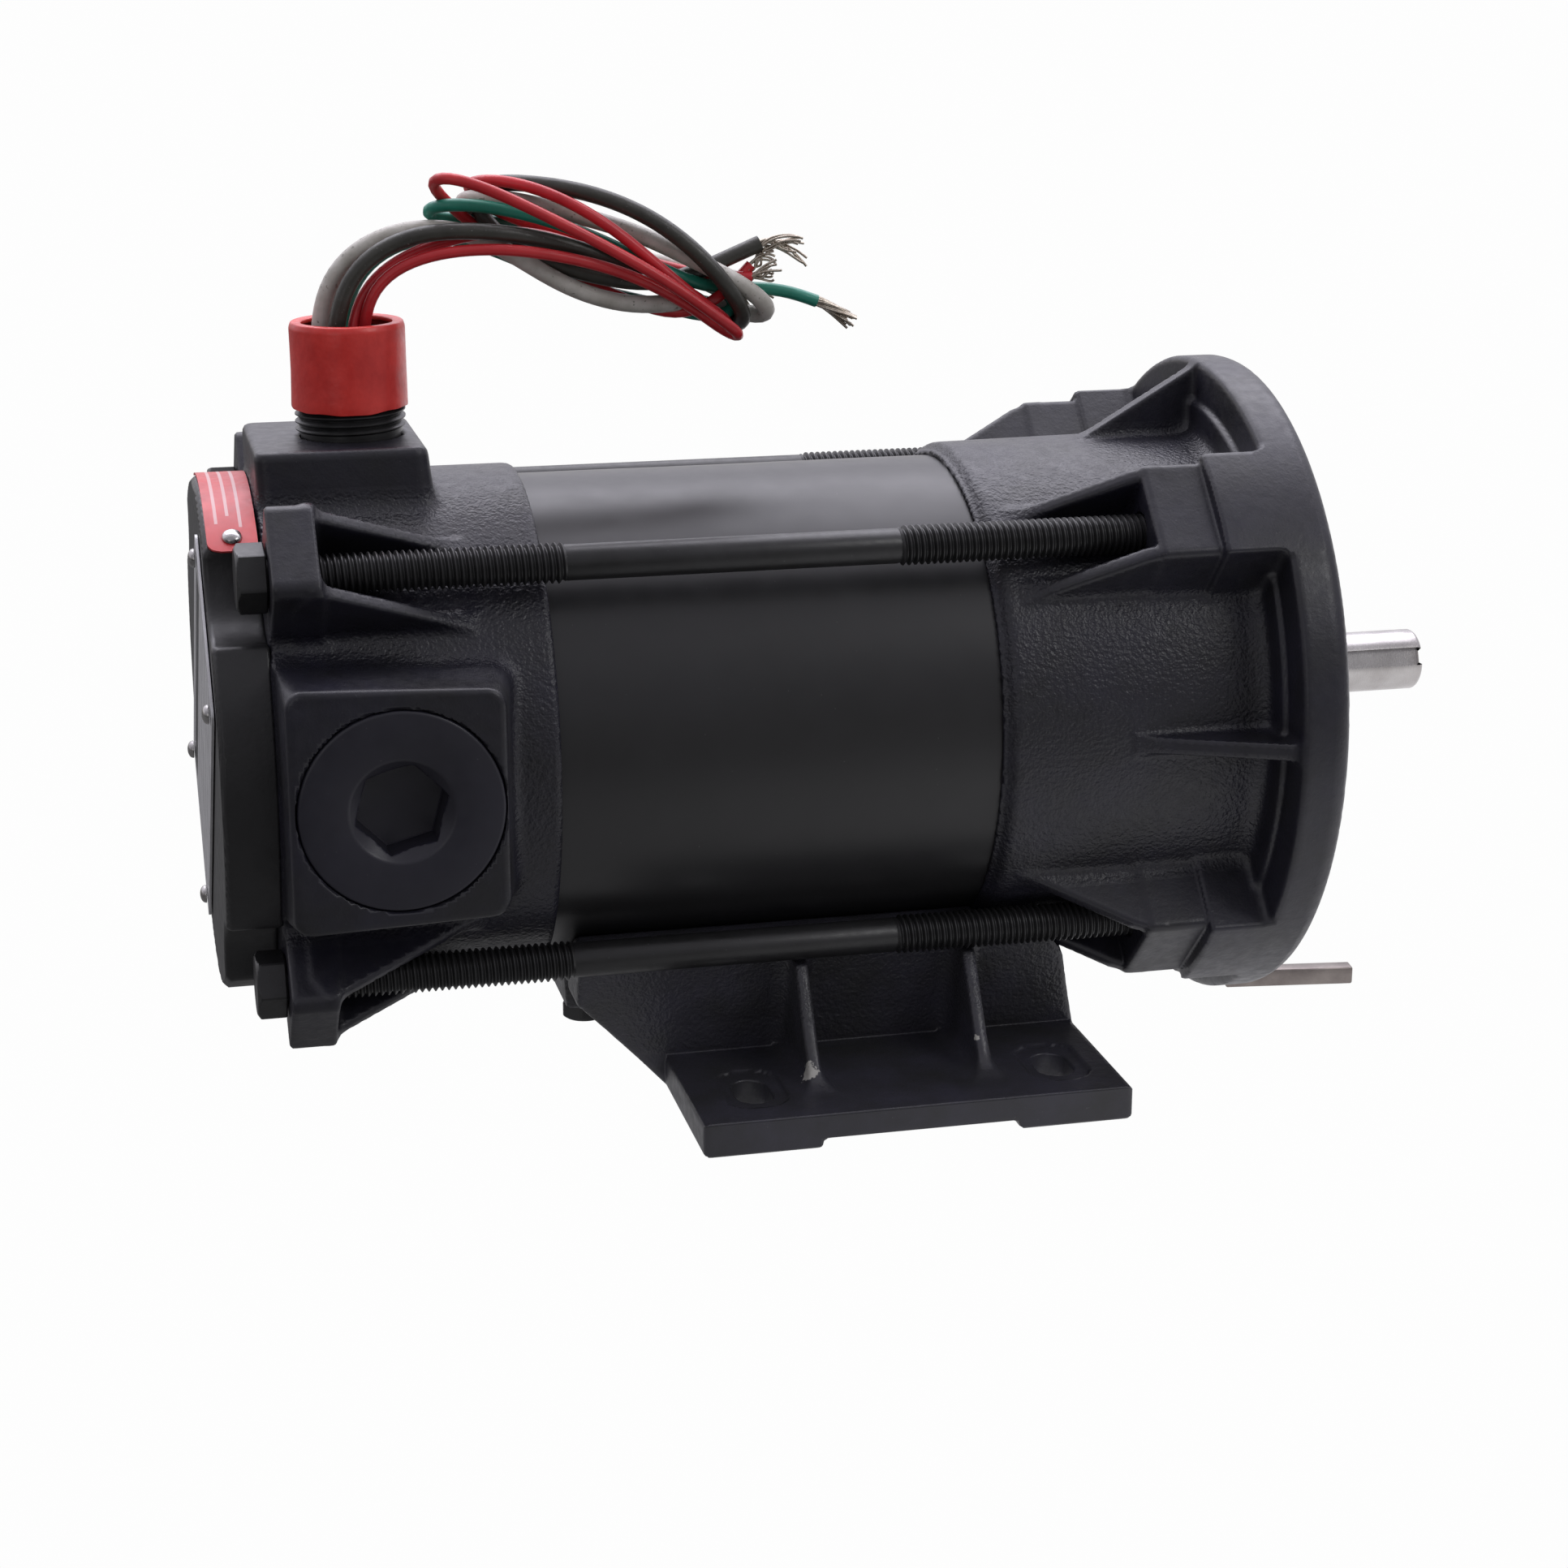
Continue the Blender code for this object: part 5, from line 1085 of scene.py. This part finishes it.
def wavy_hem(part):
    """The cap with its lower edge pushed up and down a little."""
    points, faces = part
    points = np.array(points)
    angles = np.arctan2(points[:, 1], points[:, 2])
    low = np.clip((84.0 - points[:, 0]) / 5.0, 0.0, 1.0)
    points[:, 0] += low * (0.3 * np.sin(angles * 2 + 1.0) + 0.14 * np.sin(angles * 5 + 0.4)
                           + 0.08 * np.sin(angles * 11))
    return points, faces


cap_outline = soft_corners([
    (79.2, 13.35), (79.05, 13.5), (79.1, 13.85), (82.0, 13.8), (88.0, 13.7), (94.0, 13.72),
    (98.2, 13.75), (99.5, 13.3), (99.5, 11.3), (99.2, 10.8), (98.2, 10.9), (98.0, 13.0),
    (97.6, 13.35), (88.0, 13.38), (79.2, 13.35)], 0.4, 3)
cap = wavy_hem(turned(cap_outline, 144, cap_waviness))
add(lay_mesh("thread_protector_cap", *upright(cap, CONDUIT_X), RED_CAP, sharp=50), "red_cap",
    "thread_protector")


# ---------------------------------------------------------------- shaft and key

SHAFT_END = 52.4
SHAFT_RADIUS = 7.94
KEY_SIDE = 4.76
KEY_LENGTH = 34.9
KEYSEAT_DEPTH = 2.45
KEYSEAT_TURN = math.radians(71)
KEYSEAT_START = SHAFT_END - 35.8


def shaft_part():
    """The stepped shaft with its keyseat: every ring has the keyseat's corners among its points."""
    half, bottom, full = KEY_SIDE / 2, SHAFT_RADIUS - KEYSEAT_DEPTH, SHAFT_RADIUS
    edge = math.asin(half / full)
    arc = np.linspace(edge, 2 * math.pi - edge, 92)
    seat = [(-half, full * math.cos(edge)), (-half, bottom), (-half / 2, bottom), (0.0, bottom),
            (half / 2, bottom), (half, bottom), (half, full * math.cos(edge))]
    seated = np.concatenate([np.stack([np.sin(arc), np.cos(arc)], 1) * full, np.array(seat)])
    angles = np.concatenate([arc, np.linspace(-edge, edge, len(seat))])
    rows = []
    for x, radius in ((-252.6, 0.0), (-252.6, 8.0), (-252.4, 8.2), (-238.4, 8.2), (-238.4, 9.5),
                      (-82.0, 9.5), (-82.0, 11.0), (-28.0, 11.0), (-28.0, 8.2), (-11.0, 8.2),
                      (-11.0, full), (10.0, full), (KEYSEAT_START, full)):
        rows.append(ring_row(x, radius, angles))
    rings = [(KEYSEAT_START, 1.0)]
    rings += [(x, 1.0) for x in np.linspace(KEYSEAT_START + 3, SHAFT_END - 1.1, 10)]
    rings += [(SHAFT_END - 0.7, 0.985), (SHAFT_END - 0.25, 0.945), (SHAFT_END, 0.90),
              (SHAFT_END, 0.45), (SHAFT_END - 0.2, 0.12), (SHAFT_END - 0.8, 0.0)]
    for x, share in rings:
        rows.append(np.column_stack([np.full(len(seated), x), seated * share * (-1.0, 1.0)]))
    return np.concatenate(rows), grid_faces(len(rows), len(seated))


shaft = placed(shaft_part(), Matrix.Rotation(KEYSEAT_TURN, 4, "X"))
add(lay_mesh("shaft_turned", *shaft, STEEL, "rotor", 32), "steel", "shaft")


def key_part():
    """A square key with its edges broken, along x from 0."""
    side, edge = KEY_SIDE, 0.45
    square = [(-side / 2, 0.0), (side / 2, 0.0), (side / 2, side), (-side / 2, side)]
    corners = []
    for before, here, after in zip(square[-1:] + square[:-1], square, square[1:] + square[:1]):
        back, ahead = (np.subtract(other, here) / side * edge for other in (before, after))
        corners += [here + back, here + (back + ahead) * 0.29, here + ahead]
    corners = np.array(corners)
    middle = np.array((0.0, side / 2))
    ends = ((0.0, 0.0), (0.0, 0.86), (0.15, 0.95), (0.45, 1.0))
    stations = ends + tuple((KEY_LENGTH - x, grow) for x, grow in ends[::-1])
    rows = [np.column_stack([np.full(len(corners), x), middle + (corners - middle) * grow])
            for x, grow in stations]
    return np.concatenate(rows), grid_faces(len(rows), len(corners))


key = placed(key_part(), Matrix.Rotation(math.radians(-8.1), 4, "Z"), (3.4, 0.6, FLOOR))
add(lay_mesh("shaft_key_bar", *key, KEY_STEEL, "key_body", 50), "steel", "shaft_key")


# ---------------------------------------------------------------- plates

def printed(name, ground, ink, fields, paper_rough, metallic=0.0):
    """A printed sheet: ink rectangles in the sheet's own millimetres (its UV map) on the ground."""
    material, tree, shader = new_material(name)
    shader.inputs["Metallic"].default_value = metallic
    sheet = axes_of(tree, add_node(tree, "UVMap").outputs["UV"])
    total = None
    for left, low, right, high in fields:
        masks = []
        for output, a, b in (("X", left, right), ("Y", low, high)):
            along = math_node(tree, "SUBTRACT", sheet[output], (a + b) / 2)
            away = math_node(tree, "ABSOLUTE", along)
            half = (b - a) / 2
            masks.append(spread(tree, away, 1.0, 0.0, half - 0.06, half + 0.06))
        both = math_node(tree, "MULTIPLY", masks[0], second=masks[1])
        total = both if total is None else math_node(tree, "MAXIMUM", total, second=both)
    where = coordinates(tree)
    tone = ramp(tree, noise(tree, where, 160.0, 3.0), [(0.3, ground[0]), (0.7, ground[1])])
    link(tree, covered(tree, total, tone, ink), shader.inputs["Base Color"])
    link(tree, spread(tree, noise(tree, where, 700.0, 3.0), *paper_rough), shader.inputs["Roughness"])
    link(tree, bump(tree, noise(tree, where, 900.0, 2.0), 0.01 * MM), shader.inputs["Normal"])
    return material


def sheet_piece(name, points, faces, flat, material, sharp):
    """A thin sheet with a UV map in its own millimetres: flat has a place for each point."""
    obj = lay_mesh(name, points, faces, material, sharp=sharp)
    layer = obj.data.uv_layers.new(name="sheet")
    for loop in obj.data.loops:
        layer.data[loop.index].uv = flat[loop.vertex_index]
    return obj


def rounded_outline(half_wide, half_high, corner, steps=6):
    """A rectangle round the origin with rounded corners, anticlockwise."""
    points = []
    for quarter, (right, up) in enumerate(((1, 1), (-1, 1), (-1, -1), (1, -1))):
        for i in range(steps + 1):
            angle = math.radians(90 * (quarter + i / steps))
            points.append((right * (half_wide - corner) + corner * math.cos(angle),
                           up * (half_high - corner) + corner * math.sin(angle)))
    return points


PLATE_TURN = math.radians(-44)
PLATE_FRONT = -265.7
RULE = 0.35
plate_fields = [(-49.5, 22.2, 49.5, 22.2 + RULE), (-49.5, -22.5, 49.5, -22.5 + RULE),
                (-49.5, -22.5, -49.5 + RULE, 22.5), (49.5 - RULE, -22.5, 49.5, 22.5),
                (-46, 11.5, 46, 19.5)]
for row in range(5):
    plate_fields.append((-46, 7.4 - row * 6.2, 46, 7.4 - row * 6.2 + RULE))
for column in (-23.0, 0.0, 23.0):
    plate_fields.append((column, -17.4, column + RULE, 7.6))
plate_look = printed("nameplate_print", ((0.55, 0.55, 0.56), (0.68, 0.68, 0.69)),
                     (0.03, 0.03, 0.034), plate_fields, (0.3, 0.45), metallic=0.7)


def on_plate(u, v, w=0.0):
    """The place of a point of the nameplate, given in the plate's own axes."""
    y = u * math.cos(PLATE_TURN) - v * math.sin(PLATE_TURN)
    z = u * math.sin(PLATE_TURN) + v * math.cos(PLATE_TURN)
    return (PLATE_FRONT - w, y, z)


def nameplate_mesh():
    outline = rounded_outline(52, 25.5, 2.5)
    count = len(outline)
    points = [on_plate(u, v, depth) for depth in (0.0, 0.6) for u, v in outline]
    faces = [list(range(count)), list(range(2 * count - 1, count - 1, -1))]
    faces += [[i, (i + 1) % count, count + (i + 1) % count, count + i] for i in range(count)]
    return points, faces, outline + outline


def dome(height, radius):
    """A round rivet head along +x from 0."""
    rows = [(0.0, 0.0), (0.0, radius * 0.96), (height * 0.12, radius)]
    for t in np.linspace(0.25, 1.0, 7):
        rows.append((height * (0.12 + 0.88 * math.sin(t * math.pi / 2)),
                     radius * math.cos(t * math.pi / 2) if t < 1 else 0.0))
    return turned(rows, 32)


add(sheet_piece("nameplate_sheet", *nameplate_mesh(), plate_look, 30), "bright_plate", "nameplate")
for number, place in enumerate(((-47, -21), (-47, 21), (47, -21), (47, 21)), 1):
    _, y, z = on_plate(*place)
    pin = placed(dome(1.6, 2.3), Matrix.Rotation(math.pi, 4, "Z"), (PLATE_FRONT - 0.9, y, z))
    add(lay_mesh(f"nameplate_pin_{number}_dome", *pin, DOME, sharp=40), "steel",
        f"nameplate_pin_{number}")

LABEL_RADIUS = 62.8
LABEL_FROM, LABEL_TO = math.radians(-15), math.radians(34)
LABEL_BACK, LABEL_FRONT = -264.2, -252.6
LABEL_LENGTH = LABEL_RADIUS * (LABEL_TO - LABEL_FROM)
label_fields = []
for row, (start, short) in enumerate(((3.0, 9.5), (1.0, 12.5), (2.0, 8.0))):
    low = 2.2 + row * 2.75
    label_fields.append((start, low, LABEL_LENGTH - short, low + 0.75))
label_look = printed("label_print", ((0.46, 0.03, 0.035), (0.60, 0.045, 0.05)),
                     (0.62, 0.36, 0.36), label_fields, (0.3, 0.42))


def on_label(u, v, w):
    """The place of a point of the label: u round the cover, v along it, w out of it."""
    angle = LABEL_FROM + u / LABEL_RADIUS
    r = LABEL_RADIUS + w
    return (LABEL_BACK + v, -r * math.sin(angle), r * math.cos(angle))


def label_mesh():
    """The strip bent round the cover: a grid, with its two lower corners rounded."""
    columns, rows, width, corner = 96, 13, LABEL_FRONT - LABEL_BACK, 3.0
    points, flat = [], []
    for depth in (0.0, 0.5):
        for u in np.linspace(0, LABEL_LENGTH, columns):
            over = max(0.0, u - (LABEL_LENGTH - corner))
            inset = corner - math.sqrt(max(corner ** 2 - over ** 2, 0.0))
            for v in np.linspace(0, width, rows):
                squeezed = inset + v * (width - 2 * inset) / width
                points.append(on_label(u, squeezed, depth))
                flat.append((u, squeezed))
    faces = []
    block = columns * rows
    for base in (0, block):
        for i in range(columns - 1):
            for a in range(base + i * rows, base + i * rows + rows - 1):
                face = [a, a + 1, a + rows + 1, a + rows]
                faces.append(face if base else face[::-1])
    rim = [i * rows for i in range(columns)] + [(columns - 1) * rows + j for j in range(1, rows)]
    rim += [i * rows + rows - 1 for i in range(columns - 2, -1, -1)] + list(range(rows - 2, 0, -1))
    faces += [[a, b, block + b, block + a] for a, b in zip(rim, rim[1:] + rim[:1])]
    return points, faces, flat


add(sheet_piece("red_label_strip", *label_mesh(), label_look, 40), "red_label", "red_label")

RIVET_TURN = math.radians(30)
RIVET_SEAT = 63.35
rivet = placed(upright(dome(1.5, 2.35), 0.0), Matrix.Rotation(RIVET_TURN, 4, "X"),
               (-258.4, -RIVET_SEAT * math.sin(RIVET_TURN), RIVET_SEAT * math.cos(RIVET_TURN)))
add(lay_mesh("label_rivet_dome", *rivet, DOME, sharp=40), "steel", "label_rivet")


# ---------------------------------------------------------------- finishes of the carried-over CAD

CAD_LOOKS = {
    "armature_core": LAMINATION, "armature_winding": COPPER, "commutator": BRASS_TONE,
    "brush_near": CARBON, "brush_far": CARBON, "brush_holder_near": BRASS, "brush_holder_far": BRASS,
    "brush_spring_near": GROUND, "brush_spring_far": GROUND, "brush_ring": PHENOLIC,
    "front_bearing_balls": DOME, "front_bearing_inner": GROUND, "front_bearing_outer": GROUND,
    "rear_bearing_balls": DOME, "rear_bearing_inner": GROUND, "rear_bearing_outer": GROUND,
    "magnet_1": FERRITE, "magnet_2": FERRITE, "retaining_ring": GROUND, "wave_washer": GROUND,
    "shaft_seal": RUBBER, "lead_seal": COMPOUND,
}
for node, look in CAD_LOOKS.items():
    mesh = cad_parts[node].data
    mesh.materials.clear()
    mesh.materials.append(look)


# ---------------------------------------------------------------- floor and light

def white_to_camera(tree, lighting, kind, output):
    """The camera sees plain white, and everything else is lit by the other shader."""
    white = add_node(tree, kind, {"Color": (0.985, 0.985, 0.985, 1.0)}).outputs[0]
    seen = add_node(tree, "LightPath").outputs["Is Camera Ray"]
    mix = add_node(tree, "MixShader", links={"Fac": seen, 1: lighting.outputs[0], 2: white})
    add_node(tree, output, links={"Surface": mix.outputs[0]})


def stage_floor():
    """A pale floor that lights the object from below, less so towards the rear and the near side."""
    mesh = bpy.data.meshes.new("floor")
    reach = 4.0
    mesh.from_pydata([(-reach, -reach, 0), (reach, -reach, 0), (reach, reach, 0), (-reach, reach, 0)],
                     [], [(0, 1, 2, 3)])
    floor = bpy.data.objects.new("floor", mesh)
    scene.collection.objects.link(floor)
    material = bpy.data.materials.new("pale_floor")
    material.use_nodes = True
    tree = material.node_tree
    tree.nodes.clear()
    place = axes_of(tree, coordinates(tree))
    across = spread(tree, place["X"], 0.2, 1.1, -0.16, 0.24)
    along = spread(tree, place["Y"], 0.35, 1.0, -0.42, -0.18)
    strength = math_node(tree, "MULTIPLY", across, second=along)
    glow = add_node(tree, "Emission", {"Color": (0.98, 0.97, 1.0, 1.0)}, {"Strength": strength})
    white_to_camera(tree, glow, "Emission", "OutputMaterial")
    mesh.materials.append(material)


def studio_world():
    """A room that is dark below, bright above, and brightest behind the object."""
    world = bpy.data.worlds.new("studio")
    world.use_nodes = True
    tree = world.node_tree
    tree.nodes.clear()
    way = axes_of(tree, add_node(tree, "TexCoord").outputs["Generated"])
    height = spread(tree, way["Z"], 0.0, 1.0, -1.0, 1.0)
    glow = ramp(tree, height, [(0.47, (0.02, 0.02, 0.02)), (0.5, (0.40, 0.38, 0.36)),
                               (0.53, (0.44, 0.42, 0.42)), (0.57, (0.68, 0.67, 0.72)),
                               (0.66, (0.62, 0.61, 0.67)), (0.85, (0.95, 0.93, 1.02))])
    deep = spread(tree, way["Y"], 0.5, 1.6, -0.4, 0.7)
    across = spread(tree, way["X"], 1.1, 1.05, -0.9, 0.0)
    strength = math_node(tree, "MULTIPLY", deep, second=across)
    room = add_node(tree, "Background", links={"Color": glow, "Strength": strength})
    white_to_camera(tree, room, "Background", "OutputWorld")
    scene.world = world


LIGHT_AIM = Vector((0.0, 0.0, 0.1))


def soft_light(name, place, size, power, colour=(1.0, 1.0, 1.0)):
    data = bpy.data.lights.new(name, "AREA")
    data.shape = "RECTANGLE"
    data.size, data.size_y = size
    data.energy = power
    data.color = colour
    light = bpy.data.objects.new(name, data)
    light.location = place
    light.rotation_euler = (LIGHT_AIM - Vector(place)).to_track_quat("-Z", "Y").to_euler()
    scene.collection.objects.link(light)


stage_floor()
studio_world()
soft_light("overhead", (0.1, 0.44, 0.95), (1.5, 0.85), 9.5, colour=(0.97, 0.95, 1.05))
soft_light("front_right", (0.9, -0.9, 1.0), (0.5, 0.5), 3.4)
soft_light("front_left", (-0.7, -1.0, 0.3), (0.5, 0.5), 0.5)
